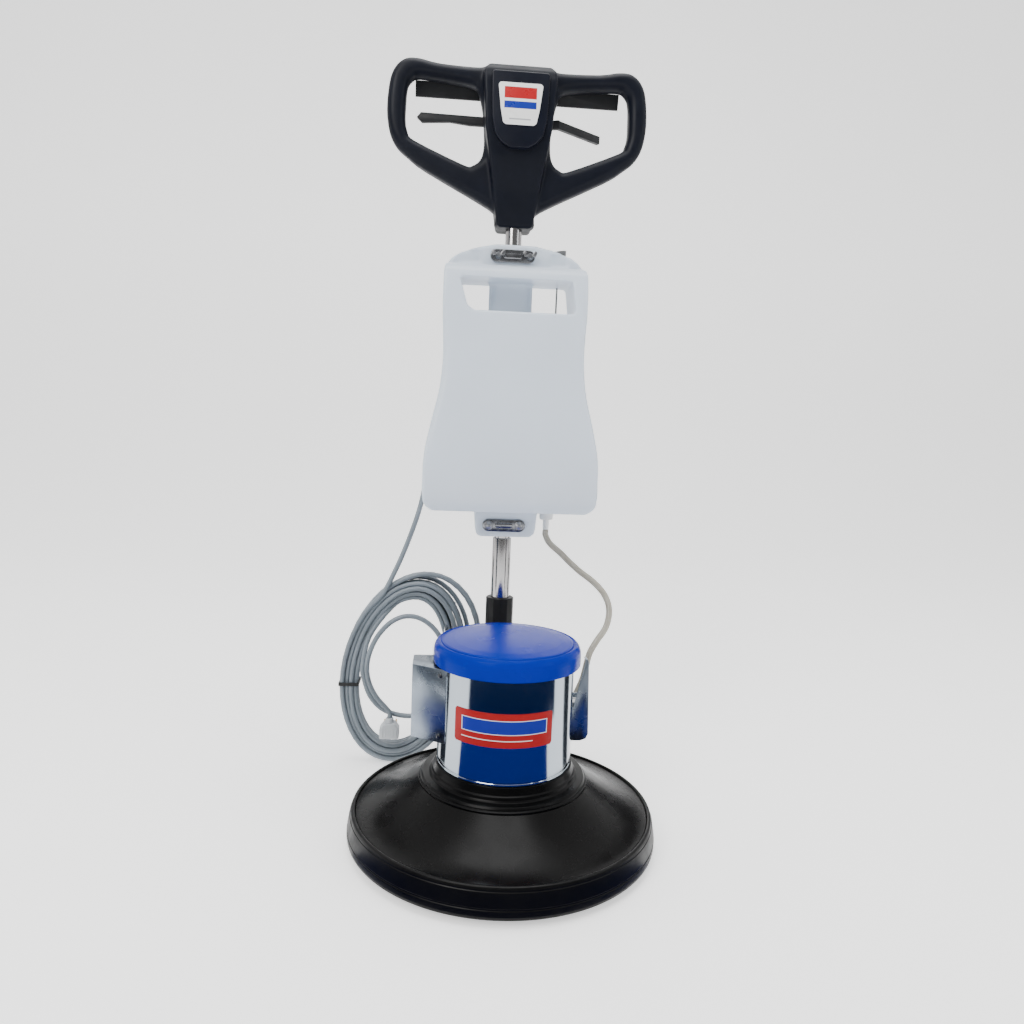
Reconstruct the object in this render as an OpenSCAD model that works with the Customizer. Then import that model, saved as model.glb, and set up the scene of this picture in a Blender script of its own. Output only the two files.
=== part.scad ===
// Rotary floor machine: round motor and deck, spinning pad, tilting pole with tank and handle head.
// Millimetres, +Z up, +Y towards the operator, origin on the drive axis at the floor.

/* [Deck] */
// Outside diameter of the rubber bumper
bumper_d = 430; // [426:1:434]
// Height of the bumper's lower edge above the floor
bumper_gap = 8; // [6:1:10]
// Diameter of the floor pad
pad_d = 394; // [380:2:396]

/* [Motor] */
// Outside diameter of the chrome motor shell
shell_d = 187.2; // [187.0:0.1:187.4]
// Height of the shell's lower edge above the floor
shell_bottom = 113.6; // [113:0.1:114]
// Height of the shell's upper edge above the floor
shell_top = 262; // [260:1:263]
// Outside diameter of the fan cap
cap_d = 204.4; // [203:0.2:206]

/* [Gearbox] */
// Gear module
gear_m = 1.5; // [1.5]
// Teeth on the sun pinion
sun_teeth = 12; // [12]
// Teeth on each planet gear
planet_teeth = 36; // [36]
// Gap between meshing teeth at the pitch circle
backlash = 0.35; // [0.2:0.05:0.5]

/* [Pole and wheels] */
// Distance of the pole's axis behind the drive axis
pole_y = 200; // [200]
// Height of the tilt pivot above the floor
pivot_z = 112; // [112]
// Outside diameter of the pole
pole_d = 25.4; // [25.4]
// Diameter of each transport wheel
wheel_d = 100; // [96:1:100]
// Distance of the wheel axle behind the drive axis
axle_y = 262; // [260:1:264]
// Height of the wheel axle above the floor
axle_z = 52; // [52:1:54]

/* [Tank] */
// Sideways shift of the tank on the pole
tank_x = 3; // [0:1:4]
// Wall thickness of the tank
tank_wall = 3; // [2.5:0.5:3.5]

/* [Handle head] */
// Width over both handle loops
head_w = 397; // [392:1:402]
// Thickness of the handle loops from front to back
loop_t = 32; // [28:1:34]
// Wall thickness of the head shells
head_wall = 3; // [2.5:0.5:3.5]

/* [Cord and hose] */
// Diameter of the mains cord
cord_d = 8.2; // [7.5:0.1:8.5]
// Diameter of the water hose
hose_d = 10; // [9:0.5:11]

/* [Hidden] */
$fn = 64;

// Deck profile
seat_r = 118.5;
seat_z = 88;
rim_r = 203;
rim_z = 46;
deck_t = 6;
rim_outer_r = 204;
rim_inner_r = 200;
rim_bottom = 14;
deck_hole_r = 84;
deck_steps = 10;
function deck_z(r) = rim_z + (seat_z - rim_z) * pow((rim_r - r) / (rim_r - seat_r), 1.5);
function deck_r(i) = seat_r + (rim_r - seat_r) * i / deck_steps;

// Motor
shell_r = shell_d / 2;
shell_in_r = shell_r - 1.6;
shaft_r = 8.45;
bearing_in_r = 8.5;
bearing_out_r = 20;
rotor_r = 52;
rotor_bore_r = 10;
stator_in_r = 52.6;
core_z = 134;
core_h = 78;
slot_count = 24;
flange_bolt_r = 108;
flange_bolt_count = 6;
cover_t = 1.2;

// Gears
sun_r = gear_m * sun_teeth / 2;
planet_r = gear_m * planet_teeth / 2;
ring_teeth = sun_teeth + 2 * planet_teeth;
ring_r = gear_m * ring_teeth / 2;
planet_orbit = sun_r + planet_r;
addendum = 0.8 * gear_m;
dedendum = 1.15 * gear_m;
pressure = 20;
gear_z = 86;
gear_h = 15.5;
pin_r = 5.95;
planet_bore_r = 6;
output_r = 12.45;

// Tilt bracket
cheek_in = 24;
cheek_out = 32;
sector_r = 42;
pin_d = 16;
pivot_gap = 0.05;
wheel_in = 35;
wheel_out = 55;

// Pole
pole_r = pole_d / 2;
pole_in_r = pole_r - 2;
pole_bottom = 172;
pole_top = 958;
sleeve_top = 300;
lower_pole_r = 15;
lower_pole_top = 398;
rod_r = 4;

// Tank rows: height, half width, front face's distance from the drive axis
TANK = [[448, 116, 108], [456, 126, 100], [468, 130, 95], [500, 131, 92], [530, 130, 93],
    [560, 125, 97], [590, 118.5, 103], [620, 111.5, 109], [650, 107.5, 115], [685, 106, 120],
    [720, 107.5, 125], [750, 108.5, 129], [785, 108.5, 133], [806, 108, 138]];
ARCH = [[818, 106], [829, 97], [838, 84], [846, 60], [852, 30]];
tank_rear = 222;
arch_front = 172;
tank_floor = 448;
body_top = 750;
window_top = 793;
cavity_top = 814;
strap_z_top = 834;
strap_z_bottom = 421;
saddle_y = 218;
knob_x = 72;
knob_y = 205;
filler_x = -62;
filler_y = 203;

// Head outlines, right half: x and z from the middle of the housing down to its lower tip
HEAD_OUT = [[40, 1119], [52, 1114.5], [66, 1112], [122, 1114], [156, 1120], [174, 1116.5],
    [187, 1105], [195, 1085],
    [198.5, 1045], [194, 1012], [183, 991], [165, 976], [138, 958], [40, 908], [31, 894], [27, 881]];
LOOP_IN = [[60, 1072], [68, 1084], [100, 1089], [150, 1093], [161, 1089], [168, 1078], [170, 1050],
    [170, 1027], [166, 1012], [156, 1001], [80, 970], [68, 970], [56, 979], [51, 1000], [53, 1040]];
HOUSING = [[38, 1119], [47, 1113], [53, 1104], [55, 1095], [50, 1019], [38, 948], [28, 884], [25, 880]];
// Head side profile: y and z
HEAD_SIDE = [[190, 1117], [176, 1112], [166, 1103], [162, 1088], [163, 1030], [168, 980],
    [178, 930], [184, 880],
    [236, 880], [237, 930], [240, 985], [242, 1040], [241, 1090], [234, 1112], [224, 1119]];
head_scale = head_w / 397;
head_mid_y = 200;
lever_y = 222;
lever_z = 1104;
release_x = 20;
release_z = 1041;
button_z = 1060;
button_r = 9;

// Coil: a leaning oval of turns, standing just behind the deck
coil_x = -152;
coil_z = 162;
coil_long = 162;
coil_short = 106;
coil_lean = 12;
coil_band = 31;
coil_front = 229;
coil_back = 262;
coil_points = 48;
hook_x = -86;
hook_z = 238;
fitting_x = 103;
fitting_y = 118;
function oval(a, b, i) = let (t = 360 * i / coil_points, u = a * cos(t), v = b * sin(t))
    [coil_x + u * sin(coil_lean) + v * cos(coil_lean), coil_z + u * cos(coil_lean) - v * sin(coil_lean)];

// Cord from the gland, down behind the tank, to the top of the coil
CORD_ROUTE = [[0, 227, 846], [0, 228, 826], [-3, 230, 800], [-14, 233, 772], [-34, 235, 745],
    [-58, 235, 718], [-80, 234, 690], [-95, 233, 655], [-103, 232, 615], [-110, 231, 575],
    [-118, 230, 535], [-125, 229, 495], [-130, 229, 460], [-137, 230, 430], [-147, 233, 398],
    [-160, 237, 362], [-172.5, 240, 332], [-181, 241, 312.5]];
// Loose end of the cord, from the coil's front face round to the plug
TAIL_ROUTE = [[-222, 224.5, 172], [-219, 224, 148], [-209, 223, 121], [-190, 222, 100],
    [-165, 221, 90], [-138, 220, 88], [-112, 219, 95], [-92, 218, 114], [-82, 217, 142],
    [-80, 216, 175], [-88, 215, 210], [-104, 215, 238], [-127, 214, 256], [-152, 214, 260],
    [-176, 213, 250], [-196, 213, 228], [-209, 212, 201], [-214, 212, 172], [-209, 212, 145],
    [-197, 212, 122], [-183, 212, 106], [-175, 212, 96], [-175, 212, 88.4]];
// Hose from the tank valve to the deck fitting
HOSE_ROUTE = [[71, 205, 411.4], [71, 205, 408], [71.5, 205, 402], [79, 202, 389], [96, 197, 375],
    [112, 193, 360], [129, 188, 346], [145, 183, 335], [158, 176, 324], [168, 169, 311],
    [173, 160, 296], [172, 152, 280], [165, 142, 264], [151, 133, 247], [140, 129, 228],
    [135, 127, 208], [130, 126, 186], [119, 123, 160], [109, 120, 135],
    [fitting_x, fitting_y, 114], [fitting_x, fitting_y, 98.4]];
cord_sides = 10;
swept_steps = 2;

// ---------------------------------------------------------------- shared shapes

module spin(points) {
    rotate_extrude($fn = 96) polygon(points);
}

// A cylinder along X between two places
module bar_x(x0, x1, r, y, z) {
    translate([x0, y, z]) rotate([0, 90, 0]) cylinder(h = x1 - x0, r = r);
}

// A cylinder along Y between two places
module bar_y(y0, y1, r, x, z) {
    translate([x, y0, z]) rotate([-90, 0, 0]) cylinder(h = y1 - y0, r = r);
}

// A profile of x and z, thickened along Y
module plate_xz(points, y0, y1) {
    translate([0, y1, 0]) rotate([90, 0, 0]) linear_extrude(height = y1 - y0) polygon(points);
}

// A profile of y and z, thickened along X
module plate_yz(points, x0, x1) {
    translate([x0, 0, 0]) rotate([90, 0, 90]) linear_extrude(height = x1 - x0) polygon(points);
}

module block(x0, x1, y0, y1, z0, z1) {
    translate([x0, y0, z0]) cube([x1 - x0, y1 - y0, z1 - z0]);
}

function mirrored(p) = concat(p, [for (i = [len(p) - 1:-1:0]) [-p[i][0], p[i][1]]]);
function moved(p, dx) = [for (q = p) [q[0] + dx, q[1]]];

// Smooth point on a route between points i and i + 1
function knot(p, i) = p[max(0, min(len(p) - 1, i))];
function curve(p, i, t) = let (a = knot(p, i - 1), b = knot(p, i), c = knot(p, i + 1), d = knot(p, i + 2))
    0.5 * (2 * b + (c - a) * t + (2 * a - 5 * b + 4 * c - d) * t * t + (3 * b - a - 3 * c + d) * t * t * t);
function smooth(p, n) = concat([for (i = [0:len(p) - 2]) for (k = [0:n - 1]) curve(p, i, k / n)],
    [p[len(p) - 1]]);
function unit(v) = v / norm(v);
function across(t) = unit(cross(t, abs(t[1]) < 0.9 ? [0, 1, 0] : [1, 0, 0]));
function heading(p, i) = unit(knot(p, i + 1) - knot(p, i - 1));

// A tube swept along a route
module swept_tube(route, d) {
    p = smooth(route, swept_steps);
    n = cord_sides;
    m = len(p);
    rings = [for (i = [0:m - 1]) let (t = heading(p, i), u = across(t), v = cross(t, u))
        for (k = [0:n - 1]) p[i] + d / 2 * (cos(360 * k / n) * u + sin(360 * k / n) * v)];
    walls = [for (i = [0:m - 2]) for (k = [0:n - 1])
        [i * n + k, (i + 1) * n + k, (i + 1) * n + (k + 1) % n, i * n + (k + 1) % n]];
    start = [for (k = [0:n - 1]) k];
    end = [for (k = [n - 1:-1:0]) (m - 1) * n + k];
    polyhedron(rings, concat(walls, [start, end]), convexity = 8);
}

// Involute tooth flank: how far round the flank leans at radius r, in degrees
function lean(base_r, r) = let (t = sqrt(max(0, pow(r / base_r, 2) - 1))) t * 180 / PI - atan(t);
function tooth(teeth, pitch_r, root_r, tip_r, play) = let (base_r = pitch_r * cos(pressure),
    half = 90 / teeth - play / 2 / pitch_r * 180 / PI + lean(base_r, pitch_r),
    mid_r = (tip_r + pitch_r) / 2,
    flank = [for (r = [root_r, max(root_r + 0.05, base_r), mid_r - addendum / 2, mid_r, tip_r])
        [r, half - lean(base_r, r)]])
    concat([for (q = flank) [q[0], -q[1]]], [for (i = [len(flank) - 1:-1:0]) flank[i]]);
module gear_outline(teeth, pitch_r, root_r, tip_r, play) {
    polygon([for (i = [0:teeth - 1]) for (q = tooth(teeth, pitch_r, root_r, tip_r, play))
        let (a = q[1] + 360 * i / teeth) [q[0] * cos(a), q[0] * sin(a)]]);
}

// ---------------------------------------------------------------- deck and bumper

module deck_envelope() {
    g = 0.1;
    spin(concat([[0, 0], [rim_outer_r + g, 0], [rim_outer_r + g, rim_z]],
        [for (i = [deck_steps:-1:0]) [deck_r(i) + g, deck_z(deck_r(i)) + g]], [[0, seat_z + g]]));
}

module deck_housing() {
    color("#101113") difference() {
        spin(concat([[rim_inner_r, rim_bottom], [rim_outer_r, rim_bottom], [rim_outer_r, rim_z - 1]],
            [for (i = [deck_steps:-1:0]) [deck_r(i), deck_z(deck_r(i))]],
            [[deck_hole_r, seat_z], [deck_hole_r, seat_z - deck_t]],
            [for (i = [0:deck_steps]) let (r = min(deck_r(i), rim_inner_r)) [r, deck_z(r) - deck_t]]));
        for (i = [0:flange_bolt_count - 1]) rotate([0, 0, 60 * i + 30])
            translate([flange_bolt_r, 0, 70]) cylinder(h = 30, r = 3);
        translate([fitting_x, fitting_y, 40]) cylinder(h = 40, r = 7);
    }
}

module bumper_ring() {
    r = bumper_d / 2;
    z = bumper_gap;
    color("#161719") spin([[204, 14], [200.6, 14], [201, z + 1], [204, z], [r - 3, z], [r - 0.8, z + 2.5],
        [r, z + 6], [r - 0.4, 24], [r - 2.4, 36], [r - 4.5, 43], [r - 5.7, 46.6], [r - 7.4, 48.3],
        [r - 9.4, 48.6], [r - 10.7, 47.6], [204, 46]]);
}

module motor_flange() {
    color("#0c0d0f") difference() {
        spin([[76, 80], [deck_hole_r, 80], [deck_hole_r, seat_z], [118, seat_z], [118, 91.5],
            [114.5, 94], [113, 96], [103, 96.5], [100, 103], [97.5, 106], [96.5, 110],
            [95.6, shell_bottom], [shell_in_r, shell_bottom], [shell_in_r, 118], [88, 118],
            [88, 112], [28, 112], [28, 118], [20, 118], [20, 106], [14, 106], [14, 104], [76, 104]]);
        for (i = [0:flange_bolt_count - 1]) rotate([0, 0, 60 * i + 30])
            translate([flange_bolt_r, 0, 80]) cylinder(h = 14.4, r = 3.2);
    }
}

module flange_bolts() {
    color("#b8bcc2") for (i = [0:flange_bolt_count - 1]) rotate([0, 0, 60 * i + 30])
        translate([flange_bolt_r, 0, 0]) {
            translate([0, 0, 81]) cylinder(h = 13, r = 3);
            translate([0, 0, 78]) cylinder(h = 4, r = 5, $fn = 6);
        }
}

module hose_fitting() {
    color("#c9a34e") translate([fitting_x, fitting_y, 0]) {
        translate([0, 0, 56]) cylinder(h = 19, r = 7);
        translate([0, 0, 74.8]) cylinder(h = 9, r = 10, $fn = 6);
        translate([0, 0, 83]) cylinder(h = 15, r = 4.5);
    }
}

// ---------------------------------------------------------------- gearbox and pad drive

module gearbox_cover() {
    color("#9a9da1") spin([[26, 56.5], [34, 56.5], [34, 72], [84, 72], [84, 80], [18, 80], [18, 72],
        [26, 72]]);
}

module ring_gear() {
    color("#8d9095") difference() {
        translate([0, 0, gear_z - 0.5]) cylinder(h = gear_h + 1, r = 76);
        translate([0, 0, gear_z - 2]) linear_extrude(height = gear_h + 4) rotate(180 / ring_teeth)
            gear_outline(ring_teeth, ring_r, ring_r - addendum, ring_r + dedendum, -backlash);
    }
}

module planet_carrier() {
    color("#85888d") difference() {
        union() {
            translate([0, 0, 80.6]) cylinder(h = 4.4, r = 50);
            translate([0, 0, 36]) cylinder(h = 44.8, r = output_r);
            translate([0, 0, 46.3]) cylinder(h = 5.7, r = 56);
            for (i = [0:2]) rotate([0, 0, 120 * i]) {
                translate([planet_orbit, 0, 84.8]) cylinder(h = 17.4, r = pin_r);
                block(40, 54, -8, 8, 36, 46.4);
            }
        }
        translate([0, 0, 30]) cylinder(h = 22, r = 4);
    }
}

module planet_gear(i) {
    color("#c4a05a") rotate([0, 0, 120 * i]) translate([planet_orbit, 0, gear_z]) difference() {
        linear_extrude(height = gear_h) rotate(180 / planet_teeth)
            gear_outline(planet_teeth, planet_r, planet_r - dedendum, planet_r + addendum, backlash);
        translate([0, 0, -1]) cylinder(h = gear_h + 2, r = planet_bore_r);
    }
}
module planet_gear_1() { planet_gear(0); }
module planet_gear_2() { planet_gear(1); }
module planet_gear_3() { planet_gear(2); }

module clutch_plate() {
    color("#6f7277") difference() {
        translate([0, 0, 34]) cylinder(h = 12, r = 62);
        translate([0, 0, 30]) cylinder(h = 20, r = 16);
        for (i = [0:2]) rotate([0, 0, 120 * i]) block(39.7, 54.3, -8.3, 8.3, 30, 50);
    }
}

module pad_driver() {
    color("#2b2d30") difference() {
        union() {
            translate([0, 0, 22]) cylinder(h = 10, r = 190);
            translate([0, 0, 31]) cylinder(h = 3, r = 80);
        }
        translate([0, 0, 20]) cylinder(h = 20, r = 30);
    }
}

module floor_pad() {
    r = pad_d / 2;
    color("#1d1e20") spin([[0, 0], [r - 6, 0], [r, 6], [r, 22], [0, 22]]);
}

// ---------------------------------------------------------------- motor

module motor_shell() {
    color("#d9dce0") spin([[shell_in_r, shell_bottom], [shell_r, shell_bottom], [shell_r, shell_top],
        [shell_in_r, shell_top]]);
}

module front_plate() {
    color("#b3121b") intersection() {
        translate([0, 0, 166]) difference() {
            cylinder(h = 46, r = shell_r + 0.6);
            translate([0, 0, -1]) cylinder(h = 50, r = shell_r + 0.05);
        }
        translate([0, 0, 160]) linear_extrude(height = 60)
            polygon([[0, 0], [-150, -130], [-60, -180], [60, -180], [110, -150]]);
    }
}

module motor_cap() {
    r = cap_d / 2;
    color("#0b39b0") union() {
        spin([[r - 2.8, 255.3], [r, 255.3], [r, 270], [r - 0.6, 274.5], [r - 2.4, 278.6],
            [r - 5, 281.6], [r - 7.4, 283.2], [r - 8.5, 282.6], [r - 9.6, 281.2], [r - 10.8, 281.4],
            [r - 12, 283.4], [60, 286], [30, 287.2], [0, 287.6], [0, 284.6], [r - 14, 280.4],
            [r - 9.6, 278.4], [r - 6, 275.5], [r - 3.6, 272], [r - 2.8, 268]]);
        for (i = [0:2]) rotate([0, 0, 120 * i + 90]) block(86, 100.2, -6, 6, shell_top, 276);
    }
}

module upper_bracket() {
    color("#a5a8ac") difference() {
        spin([[14, 238], [85, 238], [88, 236], [shell_in_r, 236], [shell_in_r, 244], [27, 244],
            [27, 252], [20, 252], [20, 240], [14, 240]]);
        for (i = [0:5]) rotate([0, 0, 60 * i]) translate([58, 0, 230]) cylinder(h = 20, r = 12);
    }
}

module bearing(r_in, r_out, h, z) {
    translate([0, 0, z]) difference() {
        cylinder(h = h, r = r_out);
        translate([0, 0, -1]) cylinder(h = h + 2, r = r_in);
        for (s = [-0.1, h - 0.9]) translate([0, 0, s]) difference() {
            cylinder(h = 1, r = r_out - 3);
            translate([0, 0, -1]) cylinder(h = 3, r = r_in + 3);
        }
    }
}

module bearings() {
    color("#c8cbd0") {
        bearing(bearing_in_r, bearing_out_r, 12, 106);
        bearing(bearing_in_r, bearing_out_r, 12, 240);
        bearing(12.5, 26, 15, 57);
    }
}

module slots(grow) {
    for (i = [0:slot_count - 1]) rotate([0, 0, 360 * i / slot_count])
        block(56, 76, -2.5, 2.5, core_z - grow, core_z + core_h + grow);
}

module stator_core() {
    color("#7c7f84") difference() {
        translate([0, 0, core_z]) cylinder(h = core_h, r = shell_in_r);
        translate([0, 0, core_z - 1]) cylinder(h = core_h + 2, r = stator_in_r);
        slots(1);
    }
}

module stator_windings() {
    color("#b06a34") union() {
        slots(0.5);
        spin([[57, 121], [82, 121], [84, 124], [84, core_z], [56, core_z], [56, 124]]);
        spin([[56, core_z + core_h], [84, core_z + core_h], [84, 226], [82, 229], [57, 229], [56, 226]]);
    }
}

module rotor_core() {
    color("#8a8d92") difference() {
        union() {
            translate([0, 0, core_z]) cylinder(h = core_h, r = rotor_r);
            translate([0, 0, core_z - 6]) cylinder(h = core_h + 12, r = 46);
        }
        translate([0, 0, core_z - 10]) cylinder(h = core_h + 20, r = rotor_bore_r);
    }
}

module motor_shaft() {
    color("#b9bcc1") union() {
        translate([0, 0, gear_z]) linear_extrude(height = 16)
            gear_outline(sun_teeth, sun_r, sun_r - dedendum, sun_r + addendum, backlash);
        translate([0, 0, gear_z + 15.8]) cylinder(h = 20, r = shaft_r);
        translate([0, 0, 120]) cylinder(h = 118, r = rotor_bore_r);
        translate([0, 0, 237]) cylinder(h = 39, r = shaft_r);
    }
}

module cooling_fan() {
    color("#4c4f54") difference() {
        union() {
            translate([0, 0, 256]) cylinder(h = 18, r = 15);
            translate([0, 0, 257]) cylinder(h = 2.5, r = 78);
            for (i = [0:8]) rotate([0, 0, 40 * i]) block(12, 78, -1.2, 1.2, 258, 274);
        }
        translate([0, 0, 250]) cylinder(h = 30, r = shaft_r);
    }
}

// Folded sheet covers over the capacitors, open towards the shell
module capacitor_cover_left() {
    t = cover_t;
    color("#cfd3d8") difference() {
        translate([0, 0, 150]) linear_extrude(height = 102)
            polygon([[-130, -16], [-83, -43], [-60, -43], [-60, 28], [-130, 28]]);
        translate([0, 0, 150 + t]) linear_extrude(height = 102 - 2 * t)
            polygon([[-130 + t, -15.3], [-83, -41.6], [-60, -41.6], [-60, 28 - t], [-130 + t, 28 - t]]);
        translate([0, 0, 130]) cylinder(h = 140, r = shell_r + 0.05);
    }
}

module capacitor_cover_right() {
    t = cover_t;
    color("#cfd3d8") difference() {
        plate_xz([[74, 137], [109, 137], [117, 140], [120, 147], [116.5, 250], [114.5, 256], [74, 256]],
            4, 54);
        plate_xz([[70, 137 + t], [108.6, 137 + t], [116, 141.1], [118.8, 147.3], [115.3, 249.7],
            [113.7, 256 - t], [70, 256 - t]], 4 + t, 54 - t);
        block(60, 130, 18, 60, 190, 270);
        plate_xz([[60, 186], [97, 186], [111, 252], [111, 270], [60, 270]], 0, 60);
        translate([0, 0, 130]) cylinder(h = 140, r = shell_r + 0.05);
    }
}

module capacitors() {
    color("#d8d9d4") {
        translate([-112, 4, 160]) cylinder(h = 80, r = 15);
        translate([104, 29, 146]) cylinder(h = 42, r = 11.5);
    }
}

// ---------------------------------------------------------------- tilt bracket and wheels

module yoke_bracket() {
    cheek = [[122, 60], [122, 97], [180, 124], [200, 134], [220, 124], [272, 68], [278, 54],
        [272, 42], [260, 37], [246, 42], [226, 53], [150, 50]];
    color("#17181a") difference() {
        union() {
            plate_yz(cheek, cheek_in, cheek_out);
            plate_yz(cheek, -cheek_out, -cheek_in);
            plate_yz([[124, 60], [124, 94], [140, 82], [186, 58], [186, 40]], -42, 42);
            plate_yz([[150, 50], [150, 74], [165, 88], [215, 80], [215, 54], [186, 50]], -6, 6);
            bar_x(-6, 6, sector_r, pole_y, pivot_z);
            block(-cheek_in - 1, cheek_in + 1, 228, 240, 50, 64);
        }
        deck_envelope();
        bar_x(-40, 40, pin_d / 2, pole_y, pivot_z);
        bar_x(-40, 40, pin_d / 2, axle_y, axle_z);
    }
}

module bracket_pins() {
    color("#b4b8bd") {
        bar_x(-36, 36, pin_d / 2, pole_y, pivot_z);
        bar_x(cheek_out, 36, 12, pole_y, pivot_z);
        bar_x(-36, -cheek_out, 12, pole_y, pivot_z);
        bar_x(-59, 59, pin_d / 2, axle_y, axle_z);
        bar_x(56, 59, 11, axle_y, axle_z);
        bar_x(-59, -56, 11, axle_y, axle_z);
    }
}

module wheel(x0) {
    r = wheel_d / 2;
    w = wheel_out - wheel_in;
    bore = pin_d / 2 + pivot_gap;
    color("#2a2b2d") translate([x0, axle_y, axle_z]) rotate([0, 90, 0]) spin([[bore, 0], [18, 0],
        [20, 3], [36, 3], [38, 0], [r - 3, 0], [r, 4], [r, w - 4], [r - 3, w], [38, w], [36, w - 3],
        [20, w - 3], [18, w], [bore, w]]);
}
module wheel_left() { wheel(-wheel_out); }
module wheel_right() { wheel(wheel_in); }

// ---------------------------------------------------------------- pole

module pole_fork() {
    color("#1b1c1e") difference() {
        union() {
            for (x = [-21, 9]) {
                bar_x(x, x + 12, 20, pole_y, pivot_z);
                block(x, x + 12, pole_y - 20, pole_y + 20, pivot_z, 162);
            }
            block(-21, 21, pole_y - 20, pole_y + 20, 160, pole_bottom);
            translate([0, pole_y, 170]) cylinder(h = 30, r = pole_in_r);
        }
        bar_x(-30, 30, pin_d / 2 + pivot_gap, pole_y, pivot_z);
        translate([0, pole_y, 150]) cylinder(h = 60, r = rod_r + 0.4);
    }
}

module pole_sleeve() {
    color("#1a1b1d") translate([0, pole_y, pole_bottom]) difference() {
        cylinder(h = sleeve_top - pole_bottom, r = 22.5, $fn = 12);
        translate([0, 0, -1]) cylinder(h = 140, r = lower_pole_r);
    }
}

module pole_tube() {
    color("#d5d8dc") translate([0, pole_y, pole_bottom]) difference() {
        union() {
            cylinder(h = pole_top - pole_bottom, r = pole_r);
            cylinder(h = lower_pole_top - pole_bottom, r = lower_pole_r);
        }
        translate([0, 0, -1]) cylinder(h = pole_top, r = pole_in_r);
    }
}

module lock_rod() {
    color("#a9adb2") {
        translate([0, pole_y, pivot_z + sector_r + 0.5])
            cylinder(h = 1056 - pivot_z - sector_r - 0.5, r = rod_r);
        block(-4, 4, pole_y, 226, 1048.5, 1056);
    }
}

// ---------------------------------------------------------------- tank

function tank_front(w) = moved(mirrored(concat([for (q = TANK) [q[1] - w, max(q[0], tank_floor + w)]],
    [for (q = ARCH) [q[1] - w, q[0] - w]])), tank_x);
function tank_side(w) = concat([for (q = TANK) [q[2] + w, max(q[0], tank_floor + w)]],
    [[146 + w, 814 - w], [158, 818 - w], [arch_front + w, 818 - w], [arch_front + w, 852 - w],
    [tank_rear - w, 852 - w], [tank_rear - w, tank_floor + w]]);

module tank_form(w) {
    intersection() {
        plate_xz(tank_front(w), 80, 240);
        plate_yz(tank_side(w), -160, 160);
    }
}

module pole_channel(r) {
    translate([0, pole_y, 390]) cylinder(h = 480, r = r);
    block(-r, r, pole_y, 240, 390, 870);
}

module water_tank() {
    color("#dfe8f0") difference() {
        union() {
            difference() {
                tank_form(0);
                plate_xz([[-78, window_top], [84, window_top], [90, body_top], [-58, body_top],
                    [-66, 756]], 80, 240);
                translate([knob_x, knob_y, 838]) cylinder(h = 30, r = 14);
                translate([filler_x, filler_y, 818]) cylinder(h = 50, r = 23);
            }
            block(-33, 29, 181, 206, body_top - 1, window_top + 1);
            plate_xz([[-48, 449], [-44, 406], [-38, 402], [42, 402], [50, 408], [54, 449]], arch_front,
                tank_rear);
            translate([filler_x, filler_y, 810]) cylinder(h = 22, r = 15.5);
        }
        pole_channel(pole_r + 2);
        difference() {
            tank_form(tank_wall);
            block(-160, 160, 80, 240, body_top - 5, 900);
            block(-19, 19, 179, 240, 400, 900);
        }
        intersection() {
            tank_form(tank_wall);
            union() {
                block(96, 130, 80, 240, body_top - 10, cavity_top);
                block(-130, -84, 80, 240, body_top - 10, cavity_top);
                block(44, 130, 140, 240, window_top + 4, cavity_top);
                block(-130, -44, 140, 240, window_top + 4, cavity_top);
            }
        }
        translate([filler_x, filler_y, 800]) cylinder(h = 50, r = 12.5);
        translate([knob_x, knob_y, 430]) cylinder(h = 440, r = 1.8);
        for (z = [strap_z_top, strap_z_bottom]) {
            block(-35, 35, saddle_y, 240, z - 10, z + 10);
            for (x = [-24, 24]) bar_y(160, 240, 3.2, x, z);
        }
    }
}

module tank_cap() {
    color("#e8e8e4") translate([filler_x, filler_y, 0]) difference() {
        translate([0, 0, 819]) cylinder(h = 23, r = 19.5);
        translate([0, 0, 810]) cylinder(h = 22.5, r = 16);
    }
}

module strap(z, x) {
    translate([x, 0, z]) difference() {
        plate_xz([[-34, -5], [-30, -10], [28, -10], [34, -5], [34, 5], [28, 10], [-30, 10], [-34, 5]],
            168.5, arch_front);
        for (s = [-24, 24]) bar_y(150, 200, 3, s - x, 0);
    }
}

// The saddle behind the pole that a strap's screws pull against
module saddle(z) {
    difference() {
        union() {
            block(-34, 34, saddle_y, 221.8, z - 9, z + 9);
            block(-14, 14, 212.8, saddle_y + 0.5, z - 9, z + 9);
        }
        for (s = [-24, 24]) bar_y(200, 240, 3, s, z);
    }
}

module tank_clamps() {
    color("#8b9096") {
        strap(strap_z_top, -2);
        strap(strap_z_bottom, 0);
        saddle(strap_z_top);
        saddle(strap_z_bottom);
    }
}

module clamp_screws() {
    color("#b9bdc3") {
        for (x = [-24, 24]) {
            bar_y(162, 221, 3, x, strap_z_top);
            bar_y(162, 168.5, 6, x, strap_z_top);
            block(x - 11, x + 11, 160, 163, strap_z_top, strap_z_top + 9);
            bar_y(164.5, 221, 3, x, strap_z_bottom);
            bar_y(164.5, 168.5, 6, x, strap_z_bottom);
        }
    }
}

module tank_valve() {
    color("#eceeee") translate([knob_x - 1, knob_y, 0]) difference() {
        union() {
            translate([0, 0, 428]) cylinder(h = 20, r = 11);
            translate([0, 0, 412]) cylinder(h = 17, r = 5);
        }
        translate([1, 0, 432]) cylinder(h = 20, r = 1.8);
    }
}

module valve_rod() {
    color("#54575c") {
        translate([knob_x, knob_y, 436]) cylinder(h = 406, r = 1.3);
        difference() {
            translate([knob_x, knob_y, 838.5]) cylinder(h = 17, r = 12.5);
            translate([knob_x - 20, knob_y - 20, 851]) rotate([0, -12, 0]) cube([50, 40, 20]);
        }
    }
}

// ---------------------------------------------------------------- handle head

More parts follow.
